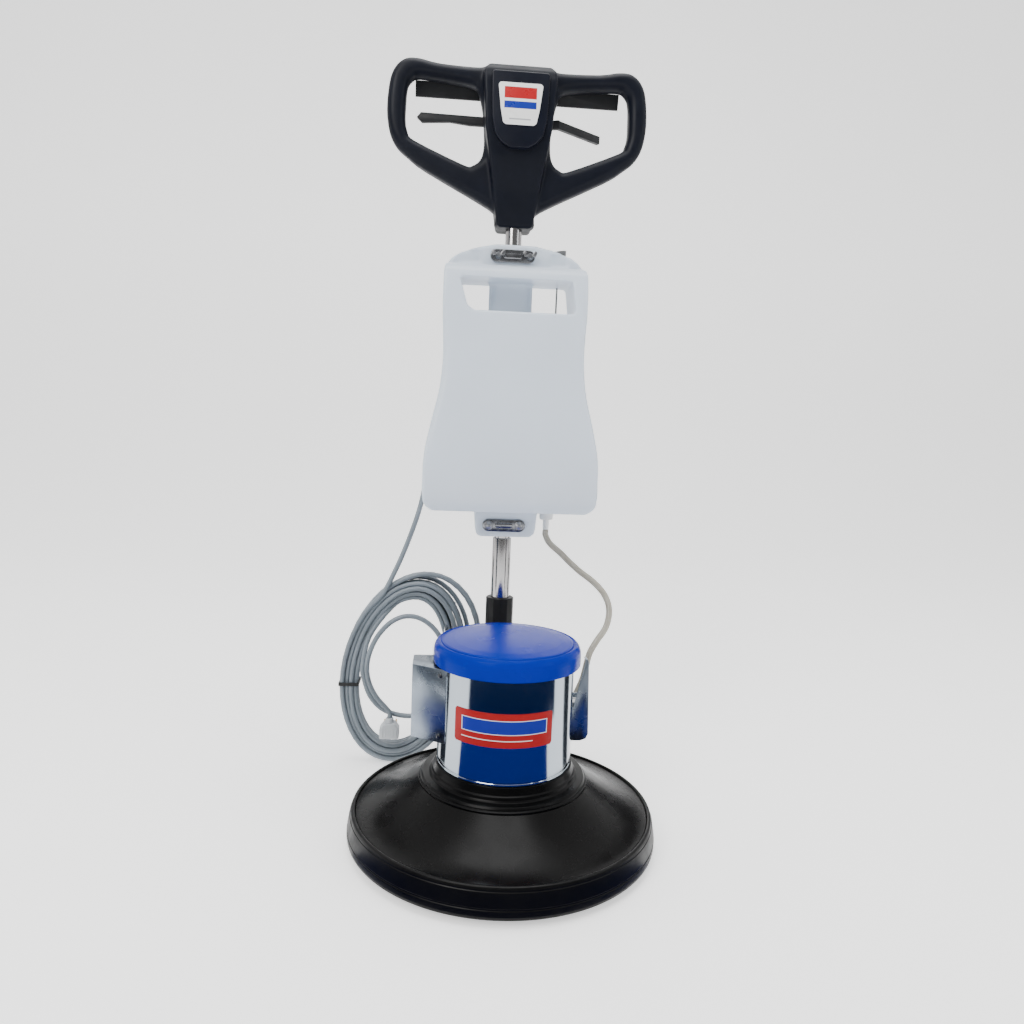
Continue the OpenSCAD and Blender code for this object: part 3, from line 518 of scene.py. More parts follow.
MAT = {
    "shell_chrome": material("shell_chrome", (0.38, 0.43, 0.48), 0.1, 1.0, 0.035, 7, 0.1,
                             (1800, 0.05, 0.00003),
                             waves=(10, 0.16, 0.002), stretch=(1, 1, 0.2)),
    "cover_chrome": material("cover_chrome", (0.3, 0.345, 0.4), 0.28, 1.0, 0.06, 12, 0.14,
                             (1500, 0.1, 0.00006),
                             waves=(16, 0.2, 0.002)),
    "zinc": material("zinc", (0.3, 0.31, 0.33), 0.32, 1.0, 0.1, 60, 0.3, (900, 0.3, 0.0001), wear=0.6,
                     wear_colour=(0.7, 0.7, 0.7)),
    "strap_zinc": material("strap_zinc", (0.27, 0.28, 0.3), 0.22, 1.0, 0.07, 40, 0.3, (900, 0.2, 0.0001),
                           wear=0.4,
                           wear_colour=(0.6, 0.6, 0.6)),
    "pole_chrome": material("pole_chrome", (0.44, 0.43, 0.43), 0.14, 1.0, 0.04, 9, 0.08,
                            (2500, 0.04, 0.00003),
                            waves=(14, 0.1, 0.0012)),
    "dark_zinc": material("dark_zinc", (0.085, 0.088, 0.095), 0.3, 1.0, 0.08, 60, 0.3, (900, 0.3, 0.0001),
                          wear=0.5,
                          wear_colour=(0.5, 0.5, 0.5)),
    "brass": material("brass", (0.55, 0.36, 0.15), 0.3, 1.0, 0.08, 50, 0.3, (900, 0.2, 0.0001)),
    "steel": material("steel", (0.52, 0.53, 0.55), 0.3, 1.0, 0.08, 40, 0.15, (900, 0.2, 0.0001)),
    "cast": material("cast", (0.4, 0.41, 0.42), 0.5, 1.0, 0.08, 25, 0.2, (500, 0.5, 0.0003)),
    "copper": material("copper", (0.6, 0.25, 0.1), 0.35, 1.0, 0.08, 60, 0.3, (700, 0.5, 0.0004)),
    "head_plastic": material("head_plastic", (0.0036, 0.005, 0.0105), 0.44, 0.0, 0.05, 16, 0.25,
                             (1600, 0.3, 0.0001),
                             wear=0.3, wear_colour=(0.016, 0.018, 0.026), specular=0.16),
    "panel_plastic": material("panel_plastic", (0.0045, 0.0058, 0.0122), 0.36, 0.0, 0.05, 16, 0.2,
                              (1600, 0.22, 0.0001),
                              wear=0.35, wear_colour=(0.02, 0.022, 0.03), specular=0.2),
    "lever_plastic": material("lever_plastic", (0.008, 0.009, 0.011), 0.48, 0.0, 0.07, 30, 0.2,
                              (1200, 0.3, 0.00015),
                              wear=0.35, wear_colour=(0.04, 0.04, 0.042), specular=0.25),
    "deck_black": material("deck_black", (0.0022, 0.0021, 0.0021), 0.27, 0.0, 0.05, 12, 0.3,
                           (420, 0.1, 0.00015),
                           waves=(20, 0.03, 0.0004), wear=0.2, wear_colour=(0.015, 0.015, 0.015),
                           specular=0.1),
    "collar_black": material("collar_black", (0.0018, 0.0018, 0.002), 0.3, 0.0, 0.05, 12, 0.3,
                             (420, 0.1, 0.0001),
                             wear=0.2, wear_colour=(0.012, 0.012, 0.012), specular=0.1),
    "rubber": material("rubber", (0.0026, 0.0026, 0.0028), 0.38, 0.0, 0.08, 20, 0.3, (700, 0.3, 0.0002),
                       wear=0.25, wear_colour=(0.015, 0.015, 0.015), specular=0.14),
    "soft_black": material("soft_black", (0.0045, 0.0046, 0.0055), 0.46, 0.0, 0.07, 30, 0.25,
                           (900, 0.3, 0.0002),
                           wear=0.3, wear_colour=(0.03, 0.03, 0.03), specular=0.25),
    "black_paint": material("black_paint", (0.005, 0.005, 0.0056), 0.34, 0.0, 0.08, 30, 0.25,
                            (500, 0.25, 0.0002),
                            wear=0.4, wear_colour=(0.06, 0.06, 0.06), dust=0.02, specular=0.3),
    "cap_blue": material("cap_blue", (0.0008, 0.013, 0.27), 0.24, 0.0, 0.05, 10, 0.12, (900, 0.1, 0.00008),
                         waves=(40, 0.04, 0.0006), specular=0.06),
    "tank_white": material("tank_white", (0.6, 0.67, 0.76), 0.34, 0.0, 0.05, 7, 0.06, (700, 0.15, 0.00012),
                           inner=0.15,
                           waves=(30, 0.12, 0.0012), specular=0.4),
    "white_plastic": material("white_plastic", (0.75, 0.76, 0.76), 0.4, 0.0, 0.05, 20, 0.08,
                              (900, 0.2, 0.0001)),
    "knob_grey": material("knob_grey", (0.1, 0.105, 0.11), 0.5, 0.0, 0.06, 30, 0.2, (900, 0.3, 0.0001),
                          wear=0.4,
                          wear_colour=(0.25, 0.25, 0.25)),
    "cord_grey": material("cord_grey", (0.2, 0.235, 0.27), 0.38, 0.0, 0.06, 18, 0.22, (1500, 0.2, 0.0001),
                          dust=0.03),
    "tie_black": material("tie_black", (0.012, 0.012, 0.013), 0.6, 0.0, 0.06, 60, 0.3, (1800, 0.5, 0.0002)),
    "plug_grey": material("plug_grey", (0.5, 0.53, 0.56), 0.42, 0.0, 0.06, 30, 0.12, (1200, 0.25, 0.0001),
                          wear=0.3,
                          wear_colour=(0.6, 0.62, 0.64)),
    "hose_clear": material("hose_clear", (0.36, 0.34, 0.29), 0.24, 0.0, 0.06, 25, 0.15, (900, 0.15, 0.0001),
                           inner=0.4),
    "button_red": material("button_red", (0.42, 0.01, 0.012), 0.3, 0.0, 0.05, 30, 0.15,
                           (900, 0.15, 0.0001)),
    "pad_fibre": material("pad_fibre", (0.012, 0.011, 0.01), 0.85, 0.0, 0.08, 40, 0.4, (260, 1.0, 0.0022),
                          waves=(90, 0.8, 0.003)),
    "tyre": material("tyre", (0.03, 0.03, 0.031), 0.6, 0.0, 0.08, 30, 0.3, (700, 0.4, 0.0003), dust=0.1),
    "bronze": material("bronze", (0.5, 0.33, 0.15), 0.35, 1.0, 0.08, 40, 0.2, (900, 0.2, 0.0001)),
}
MAT["plate_red"] = paint_areas(
    material("plate_red", (0.32, 0.003, 0.004), 0.34, 0.0, 0.05, 12, 0.12, (1200, 0.1, 0.00006),
             specular=0.2),
    [((0.55, 0.57, 0.65), -62, 49, 183.4, 202.6), ((0.004, 0.012, 0.24), -61, 48, 184.4, 201.6),
     ((0.6, 0.58, 0.58), -62, 30, 175, 176.2)],
)
MAT["plate_white"] = paint_areas(
    material("plate_white", (0.8, 0.8, 0.8), 0.3, 0.0, 0.05, 12, 0.05, (1200, 0.1, 0.00006), coat=0.4),
    [((0.36, 0.005, 0.008), -24, 24, 1058, 1074), ((0.006, 0.02, 0.25), -24, 24, 1044, 1054),
     ((0.35, 0.36, 0.38), -16, 16, 1028, 1030)],
)


def place(piece, finish, body, *replaced, slot=None):
    """Gives a piece its finish, body and the CAD nodes it stands for. Its slot argument is not used."""
    piece.data.materials.clear()
    piece.data.materials.append(MAT[finish])
    if body:
        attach(piece, body)
    if replaced:
        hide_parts(*replaced)
    return piece


# ------------------------------------------------------------------ plug, tie, hook and hose fittings


def make_plug():
    outline = [(-191, 54, 3), (-159, 54, 3), (-159, 71, 4), (-166, 80, 5), (-184, 80, 5), (-191, 71, 4)]
    body = prism("mains_plug_body", outline, 201, 223, "y", 2.2, 4)
    grips = [brick("g", (x - 1.1, x + 1.1), (200.4, 223.6), (58, 71), 0.5, 0.8)
             for x in (-186, -181, -169, -164)]
    neck = lathe("n",
                 [(0, 78), (8, 78, 1), (7.4, 80.5, 0.6), (7.7, 81.4, 0.5), (6.7, 83.4, 0.6), (7, 84.2, 0.5),
                       (5.6, 87.8, 0.8), (0, 87.8)], (-175, 212, 0), segments=40)
    plug = join("mains_plug_body", [body, neck, *grips])
    pins = [brick("p", (-175 + x - 1.5, -175 + x + 1.5), (222.5, 240.8), (69, 75), 0.5, 0.6)
            for x in (-9.5, 9.5)]
    pins.append(brick("p", (-178, -172), (222.5, 240.8), (58, 61), 0.5, 0.6))
    pins = join("mains_plug_pins", pins)
    place(plug, "plug_grey", "base", "mains_plug")
    place(pins, "brass", "base", slot="mains_plug")
    return plug, pins


def make_cords():
    plug, pins = make_plug()
    tie = bevelled("cord_tie_band", 0.5, "cord_tie")
    place(tie, "tie_black", "base", "cord_tie")
    place(cord, "cord_grey", None, "power_cord", "cord_coil", "cord_tail", slot="power_cord")
    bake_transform(cord)
    place(hose, "hose_clear", None, "water_hose")
    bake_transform(hose)


make_cords()


def make_cord_fittings():
    hook = tube("cord_hook_rod",
                smooth_route([(-86, 36, 238), (-86, 120, 238), (-86, 200, 238), (-86, 252, 238),
                                               (-85.6, 262, 238.6), (-84.4, 267, 242), (-81.6, 268, 250),
                                               (-73.8, 268, 271.6)], 6), 3.0, 16)
    tip = lathe("tip", [(0, 0), (3.5, 0, 0.6), (3.6, 14, 2.6), (0, 15.4)], segments=24)
    tip.data.transform(Matrix.Translation((-0.0782, 0.268, 0.2596)) @ Matrix.Rotation(math.radians(20), 4,
            "Y"))
    foot = lathe("foot", [(0, 0), (8, 0, 0.6), (8, 3, 1), (3.2, 4.5, 0.6), (0, 4.5)], segments=32)
    foot.data.transform(Matrix.Translation((-0.086, 0.0365, 0.238)) @ Matrix.Rotation(math.radians(-90), 4,
            "X"))
    place(join("cord_hook_rod", [hook, foot]), "steel", "base", "cord_hook")
    place(shade(tip), "soft_black", "base", slot="cord_hook")
    tip.name = "cord_hook_tip"
    gland = lathe("cord_strain_relief",
                  [(0, 846), (4.6, 846, 0.4), (5.3, 849, 0.5), (4.9, 851, 0.4), (5.6, 854, 0.5),
                                         (5.2, 856, 0.4), (5.9, 859, 0.5), (5.5, 861, 0.4), (6.2, 864, 0.5),
                                         (5.8, 866, 0.4), (6.5, 869, 0.5), (6.1, 871, 0.4), (6.8, 876, 0.8),
                                         (6.9, 903, 0.5), (0, 903)], (0, 227, 0), segments=40)
    place(gland, "soft_black", "handle", "cord_gland")
    x, y = 103, 118
    fitting = lathe("hose_barb",
                    [(0, 56), (6.9, 56, 0.5), (6.9, 75), (4.4, 83), (4.4, 86, 0.3), (5.0, 86.4, 0.2),
                                  (4.3, 90, 0.3), (5.0, 90.4, 0.2), (4.3, 94, 0.3), (4.9, 94.4, 0.2),
                                  (4.2, 97.8, 0.4),
                                  (0, 97.8)], (x, y, 0), segments=40)
    ring = [(10 * math.cos(math.radians(60 * k)) + x, 10 * math.sin(math.radians(60 * k)) + y, 0.6)
            for k in range(6)]
    nut = prism("nut", ring, 74.9, 83.6, "z", 0.7)
    clip = lathe("clip", [(4.9, 88, 0.2), (6.1, 88, 0.3), (6.1, 94, 0.3), (4.9, 94, 0.2)], (x, y, 5),
                 segments=40)
    place(join("hose_fitting_brass", [fitting, nut]), "brass", "base", "hose_fitting")
    place(clip, "steel", "base", slot="hose_fitting")
    clip.name = "hose_clip"


make_cord_fittings()

# ------------------------------------------------------------------ deck, bumper, collar and pad


def deck_height(r):
    return 46 + 42 * ((203 - r) / 84.5) ** 1.5


def make_deck():
    steps = 28
    radii = [118.5 + (203 - 118.5) * i / steps for i in range(steps + 1)]
    top = [(r, deck_height(r)) for r in radii]
    under = [(min(r, 200), deck_height(min(r, 200)) - 6) for r in radii[:-1]]
    profile = [(84, 82), (84, 88, 0.5), *top, (204, 45, 0.6), (204, 14, 0.5), (200, 14, 0.5),
               *reversed(under)]
    dish = lathe("deck_dish", profile, segments=192, angle=30)
    place(dish, "deck_black", "base", "deck_housing")
    r = 215
    ring = [(204, 14), (200.6, 14), (201, 9), (204, 8, 1), (r - 3, 8, 2), (r - 0.8, 10.5, 2), (r, 14, 3),
            (r, 21, 1),
            (r - 0.9, 22, 0.6), (r - 0.9, 23.4, 0.6), (r - 0.4, 24.4, 1), (r - 2.4, 36, 6),
            (r - 3.6, 42, 1),
            (r - 4.6, 43, 0.6), (r - 4.5, 44.2, 0.6), (r - 5.7, 47.4, 2), (r - 8, 48.6, 2.5),
            (r - 10.4, 47.6, 1.5),
            (204, 46)]
    place(lathe("bumper_rubber", ring, segments=192, angle=50), "rubber", "base", "bumper_ring")


def make_collar():
    profile = [(76, 80), (84, 80), (84, 88.2), (118, 88.2, 0.8), (118, 90.4, 1), (116.4, 91.6, 0.8),
               (115.4, 91.9, 0.5),
               (115, 93.4, 1.2), (113, 96, 1.4), (103.6, 96.6, 2), (101.6, 99, 1), (100.6, 102.6, 1.2),
               (98.6, 104, 0.8), (97.8, 107, 1), (96.6, 110.5, 1), (95.7, 113.5, 0.6), (92, 113.5),
               (92, 117.8), (88, 117.8),
               (88, 112), (28, 112), (28, 118), (20, 118), (20, 106), (14, 106), (14, 104), (76, 104)]
    place(lathe("motor_collar", profile, segments=192, angle=40), "collar_black", "base", "motor_flange")
    bolts = []
    for i in range(6):
        a = math.radians(60 * i + 30)
        x, y = 108 * math.cos(a), 108 * math.sin(a)
        hexagon = [(x + 5 * math.cos(a + math.radians(60 * k)), y + 5 * math.sin(a + math.radians(60 * k)),
                    0.3)
                   for k in range(6)]
        bolts.append(prism("b", hexagon, 78.1, 81.8, "z", 0.5, 2))
        bolts.append(lathe("s", [(0, 81), (2.9, 81), (2.9, 93.8, 0.4), (0, 93.8)], (x, y, 0), segments=28))
    place(join("collar_bolts", bolts), "dark_zinc", "base", "flange_bolts")


def make_pad():
    pad = lathe("scrubbing_pad",
                [(0, 0.2), *[(r, 0.2) for r in range(12, 186, 8)], (190, 0.3, 2), (196.6, 6, 4),
                                  (196.8, 12), (196.6, 21.8, 1), *[(r, 21.9) for r in range(184, 10, -12)],
                                  (0, 21.9)],
                segments=180, angle=50)
    for v in pad.data.vertices:
        co = v.co
        rough = noise.noise(co * 300) * 0.0007 + noise.noise(co * 90) * 0.0006
        v.co.z = max(0.0, co.z + (abs(rough) if co.z < 0.003 else 0.0))
        r = math.hypot(co.x, co.y)
        if r > 0.19:
            v.co.x *= 1 - abs(rough) / r
            v.co.y *= 1 - abs(rough) / r
    place(pad, "pad_fibre", "drive", "floor_pad")
    driver = bevelled("pad_holder", 0.8, "pad_driver")
    place(driver, "soft_black", "drive", "pad_driver")


make_deck()
make_collar()
make_pad()

# ------------------------------------------------------------------ motor shell, plate, cap and covers


def make_motor():
    r = 93.6
    profile = [(r - 1.6, 113.8), (r, 113.8, 0.4), (r, 116.6, 0.3), (r - 0.5, 117.2, 0.3),
               (r - 0.5, 118.4, 0.3),
               (r, 119, 0.3), (r, 255, 0.3), (r - 0.6, 256, 0.3), (r, 257, 0.3), (r, 261.8, 0.5),
               (r - 1.6, 261.8, 0.5)]
    shell = lathe("motor_chrome_shell", profile, segments=192, angle=30)
    place(shell, "shell_chrome", "base", "motor_shell")
    seam = [brick("s", (-6, 6), (93.3, 94.1), (120, 254), 0.3, 0.3)]
    for k in range(6):
        seam.append(lathe("s", [(0, 93.8), (2.4, 93.8, 0.3), (1.7, 94.9, 0.5), (0, 95.1)],
                          (0, 0, 131 + 22.4 * k), "y",
                          segments=20))
    place(join("motor_shell_seam", seam), "cover_chrome", "base", slot="motor_shell")
    # The plate follows the shell's curve
    radius, thick = r + 0.12, 0.48
    columns, rows = 60, 2
    start, end = math.asin(-71 / 95), math.asin(57 / 95)
    low, high, corner = 166.3, 211.7, 3.0
    verts, faces = [], []
    for layer in (0, thick):
        for i in range(columns + 1):
            a = start + (end - start) * i / columns
            edge = min(i, columns - i) / columns * (end - start) * radius
            drop = corner - math.sqrt(max(0.0, corner**2 - (corner - edge) ** 2)) if edge < corner else 0.0
            for z in (low + drop, (low + high) / 2, high - drop):
                verts.append(((radius + layer) * math.sin(a), -(radius + layer) * math.cos(a), z))
    per = 3 * (columns + 1)
    for i in range(columns):
        for j in range(rows):
            a, b = 3 * i + j, 3 * (i + 1) + j
            faces += [(a, b, b + 1, a + 1), (per + a, per + a + 1, per + b + 1, per + b)]
        for j in (0, 2):
            a, b = 3 * i + j, 3 * (i + 1) + j
            faces.append((a, per + a, per + b, b))
    for i in (0, columns):
        for j in range(rows):
            a = 3 * i + j
            faces.append((a, a + 1, per + a + 1, per + a))
    plate = from_lists("front_plate_panel", verts, faces, 30)
    place(plate, "plate_red", "base", "front_plate")


def make_cap():
    r = 102.2
    profile = [(r - 2.6, 255.4), (r - 0.2, 255.4, 0.6), (r, 262, 2), (r, 270, 6), (r - 0.9, 275, 4),
               (r - 2.8, 279.4, 4),
               (r - 5.4, 282.2, 3), (r - 7.6, 283.2, 0.9), (r - 8.6, 281.6, 0.7), (r - 10, 281.4, 0.6),
               (r - 11.2, 283.2, 1), (r - 14, 284, 3), (74, 285.4, 20), (50, 286.6, 20), (24, 287.3, 10),
               (0, 287.5),
               (0, 284.8), (r - 14, 280.4, 3), (r - 9.6, 278.4), (r - 6, 275.5), (r - 3.6, 272, 2),
               (r - 2.6, 268, 2)]
    cap = lathe("motor_cap_blue", profile, segments=192, angle=38)
    lugs = []
    for i in range(3):
        lug = brick("l", (86, 99.4), (-6, 6), (262.2, 276), 0.5)
        lug.data.transform(Matrix.Rotation(math.radians(120 * i + 90), 4, "Z"))
        lugs.append(lug)
    place(join("motor_cap_blue", [cap, *lugs], 38), "cap_blue", "base", "motor_cap")


def make_covers():
    left = bevelled("capacitor_guard_left", 0.45, "capacitor_cover_left")
    right = bevelled("capacitor_guard_right", 0.45, "capacitor_cover_right")
    place(left, "cover_chrome", "base", "capacitor_cover_left")
    place(right, "cover_chrome", "base", "capacitor_cover_right")
    screws = []
    for x, y, z, turn in ((-92, -38, 159, 30), (-92, -38, 243, 30)):
        head = lathe("h", [(0, 0), (3.4, 0, 0.3), (3.2, 1.2, 0.9), (0, 1.9)], segments=24)
        head.data.transform(Matrix.Translation((x * MM, y * MM,
                                                z * MM)) @ Matrix.Rotation(math.radians(-turn), 4, "Z")
                            @ Matrix.Rotation(math.radians(90), 4, "X"))
        screws.append(head)
    place(join("capacitor_guard_screws", screws), "dark_zinc", "base", slot="capacitor_cover_left")
    cans = []
    for x, y, z0, z1, r in ((-112, 4, 160, 240, 15), (104, 29, 146, 188, 11.5)):
        cans.append(lathe("c", [(0, z0), (r, z0, 1.5), (r, z1 - 4, 0.6), (r - 0.8, z1 - 3, 0.4),
                                (r, z1 - 2, 0.4), (r, z1, 1),
                                (r - 2.5, z1, 0.5), (r - 2.5, z1 - 1.5, 0.4), (0, z1 - 1.5)], (x, y, 0),
                                segments=40))
    place(join("motor_capacitors", cans), "white_plastic", "base", "capacitors")


make_motor()
make_cap()
make_covers()

# ------------------------------------------------------------------ bracket, wheels and pole


def make_bracket():
    place(bevelled("tilt_bracket", 0.9, "yoke_bracket"), "black_paint", "base", "yoke_bracket")
    place(bevelled("bracket_pin_set", 0.8, "bracket_pins"), "steel", "base", "bracket_pins")
    place(bevelled("pole_fork_block", 1.2, "pole_fork"), "black_paint", "handle", "pole_fork")


def make_wheels():
    r, bore, width = 50, 8.06, 20
    for side, low in (("left", -55), ("right", 35)):
        tyre = [(36.5, 1.2, 0.6), (40, 0.6, 1), (r - 4, 0.2, 2), (r - 0.4, 4, 3), (r, width / 2, 30),
                (r - 0.4, width - 4, 3),
                (r - 4, width - 0.2, 2), (40, width - 0.6, 1), (36.5, width - 1.2, 0.6)]
        hub = [(bore, 0.2), (15, 0.2, 0.8), (17, 3, 1.5), (33, 4, 1.5), (35, 1.6, 0.6), (36.8, 1.6, 0.3),
               (36.8, width - 1.6, 0.3), (35, width - 1.6, 0.6), (33, width - 4, 1.5), (17, width - 3, 1.5),
               (15, width - 0.2, 0.8), (bore, width - 0.2)]
        axle = (low, 262, 52)
        place(lathe(f"wheel_{side}_tyre", tyre, axle, "x", 96), "tyre", f"wheel_{side[0]}", f"wheel_{side}")
        centre = lathe("hub", hub, axle, "x", 96)
        spokes = []
        for k in range(6):
            for face in (2.2, width - 4.0):
                rib = brick("rib", (low + face, low + face + 1.8), (15.5, 34.5), (-1.6, 1.6), 0.5)
                rib.data.transform(Matrix.Translation((0, 0.262,
                                                       0.052)) @ Matrix.Rotation(math.radians(60 * k), 4,
                                                               "X"))
                spokes.append(rib)
        place(join(f"wheel_{side}_hub", [centre, *spokes]), "knob_grey", f"wheel_{side[0]}",
              slot=f"wheel_{side}")


def make_pole():
    r, low_r = 12.7, 15
    pole = [(r - 2, 172), (low_r, 172, 0.3), (low_r, 397.6, 0.8), (r, 397.8), (r, 958, 0.5),
            (r - 2, 958, 0.5)]
    place(lathe("pole_chrome", pole, (0, 200, 0), segments=96), "pole_chrome", "handle", "pole_tube")
    facets = [(22.4 * math.cos(math.radians(30 * k)), 200 + 22.4 * math.sin(math.radians(30 * k)), 1)
              for k in range(12)]
    sleeve = prism("pole_sleeve_grip", facets, 172.2, 299.8, "z", 4.5, 5)
    carve(sleeve,
          [lathe("bore", [(0, 160), (low_r + 0.05, 160), (low_r + 0.05, 310), (0, 310)], (0, 200, 0),
                 segments=96)])
    place(sleeve, "soft_black", "handle", "pole_sleeve")


make_bracket()
make_wheels()
make_pole()

# ------------------------------------------------------------------ water tank, its clamps and valve

TANK_X = 3
TANK_ROWS = [
    (448, 116, 108), (456, 126, 100), (468, 130, 95), (500, 131, 92), (530, 130, 93), (560, 125, 97),
    (590, 118.5, 103), (620, 111.5, 109), (650, 107.5, 115), (685, 106, 120), (720, 107.5, 125),
    (750, 108.5, 129), (785, 108.5, 133), (806, 108, 138),
]
ARCH = [(818, 106), (829, 97), (838, 84), (846, 60), (852, 30)]
STRAPS = (834, 421)
KNOB = (72, 205)
FILLER = (-62, 203)


def mirrored(points, middle=0.0):
    return [(middle + p[0], *p[1:]) for p in points] + [(middle - p[0], *p[1:]) for p in reversed(points)]


def refine(rows, n=4):
    return smooth_route([tuple(map(float, r)) for r in rows], n)


def tank_soft_share(co):
    """How far a place on the tank is on its broad front corners."""
    side = ease((abs(co.x - TANK_X) - 62) / 26)
    front = ease((175 - co.y) / 30)
    above = ease((co.z - 482) / 22) * ease((742 - co.z) / 22)
    return side * front * above


def make_tank():
    rows = refine(TANK_ROWS)
    front = mirrored([(w, z) for z, w, y in rows] + [(w, z) for z, w in ARCH], TANK_X)
    side = [(y, z) for z, w, y in rows] + [(146, 814), (158, 818), (172, 818), (172, 852), (222, 852),
                                           (222, 448)]
    tank = prism("water_tank_body", front, 80, 240)
    carve(tank, [prism("side", side, -160, 160, "x")], "INTERSECT")
    window = [(-81, 796, 3), (87, 796, 3), (93, 747, 5), (-59, 747, 8), (-69, 754)]
    slot_box = brick("slot", (-14.7, 14.7), (200, 240), (390, 870))
    bore = lathe("bore", [(0, 390), (14.7, 390), (14.7, 870), (0, 870)], (0, 200, 0), segments=64)
    carve(tank, [prism("window", window, 60, 250)])
    recesses = [
        lathe("r", [(0, 838), (14, 838), (14, 880), (0, 880)], (*KNOB, 0), segments=48),
        lathe("r", [(0, 818), (23, 818), (23, 880), (0, 880)], (*FILLER, 0), segments=48),
        brick("r", (-85, -49), (165, 176), (822, 842), axis="y", corner=5),
        brick("r", (56, 85), (165, 176), (822, 842), axis="y", corner=5),
    ]
    for r in recesses:
        carve(tank, [r])
    channel = brick("channel", (-33, 29), (181, 214), (746, 797), axis="z", corner=12)
    ribs = [brick("rib", (x - 1.6, x + 1.6), (184, 190), (746, 797), axis="z", corner=1.2)
            for x in (-34, 30.4)]
    tab = prism("tab", [(-48, 452), (-44, 406, 7), (-38, 402, 4), (42, 402, 4), (50, 408, 7), (54, 452)],
                172, 222)
    neck = lathe("neck", [(0, 812), (15.4, 812), (15.4, 832), (0, 832)], (*FILLER, 0), segments=48)
    tank = join("water_tank_body", [tank, channel, *ribs, tab])
    soften(tank, 2.2, 9, extra=70, where=tank_soft_share)
    cutters = [slot_box, bore]
    cutters += [brick("c", (-35, 35), (218, 240), (z - 10, z + 10)) for z in STRAPS]
    cutters.append(lathe("c", [(0, 430), (2.2, 430), (2.2, 870), (0, 870)], (*KNOB, 0), segments=20))
    cutters.append(lathe("c", [(0, 424), (11.6, 424), (11.6, 447), (0, 447)], (71, 205, 0), segments=40))
    carve(tank, cutters, angle=40)
    place(tank, "tank_white", "handle", "water_tank")
    place(neck, "tank_white", "handle", slot="water_tank")
    neck.name = "tank_filler_neck"


def rounded_strap(name, middle, z, half, low, high):
    outline = [(middle - half, z - 10, 9.5), (middle + half, z - 10, 9.5), (middle + half, z + 10, 9.5),
               (middle - half, z + 10, 9.5)]
    return prism(name, outline, low, high, "y", 0.9, 3)


def bolt_head(x, z, y, across=6.0):
    ring = [(x + across * math.cos(math.radians(60 * k + 20)),
             z + across * math.sin(math.radians(60 * k + 20)), 0.4)
            for k in range(6)]
    return prism("bolt", ring, y - 4, y, "y", 0.8, 2)


def wing_nut(x, z):
    hub = lathe("hub", [(0, 161.4), (3.6, 161.4, 0.4), (5.6, 168.2, 0.6), (0, 168.2)], (x, 0, z), "y",
                segments=28)
    wings = [prism("wing", [(x + s * 2, z, 1), (x + s * 8.5, z - 1.5, 2), (x + s * 11, z + 5, 2.5),
                            (x + s * 8, z + 8.8, 2.5),
                            (x + s * 4, z + 4, 1.5)], 161.2, 163.4, "y", 0.6, 2) for s in (-1, 1)]
    return [hub, *wings]


def make_clamps():
    straps = [rounded_strap("s", -2, STRAPS[0], 34, 168.8, 171.9),
              rounded_strap("s", 0, STRAPS[1], 34, 168.8, 171.9)]
    for middle, z in ((-2, STRAPS[0]), (0, STRAPS[1])):
        straps.append(prism("bead", [(middle - 14, z - 4, 3.8), (middle + 14, z - 4, 3.8),
                                     (middle + 14, z + 4, 3.8),
                                     (middle - 14, z + 4, 3.8)], 168.0, 170, "y", 0.7, 2))
        straps.append(brick("saddle", (-33.8, 33.8), (218.1, 221.7), (z - 8.8, z + 8.8), 0.6, 2))
        straps.append(brick("saddle", (-13.8, 13.8), (212.9, 218.4), (z - 8.8, z + 8.8), 0.6, 1))
    place(join("tank_clamp_straps", straps), "strap_zinc", "handle", "tank_clamps")
    screws = wing_nut(-24, STRAPS[0]) + wing_nut(24, STRAPS[0])
    for x in (-24, 24):
        screws.append(bolt_head(x, STRAPS[1], 168.8))
        screws.append(lathe("w", [(0, 167.2), (7, 167.2, 0.2), (7, 168.8, 0.3), (0, 168.8)],
                            (x, 0, STRAPS[1]), "y", segments=28))
    for x, z in [(x, z) for x in (-24, 24) for z in STRAPS]:
        screws.append(lathe("shank", [(0, 162.2), (2.9, 162.2, 0.6), (2.9, 221.6, 0.4), (0, 221.6)],
                            (x, 0, z), "y",
                            segments=20))
    place(join("tank_clamp_bolts", screws), "zinc", "handle", "clamp_screws")


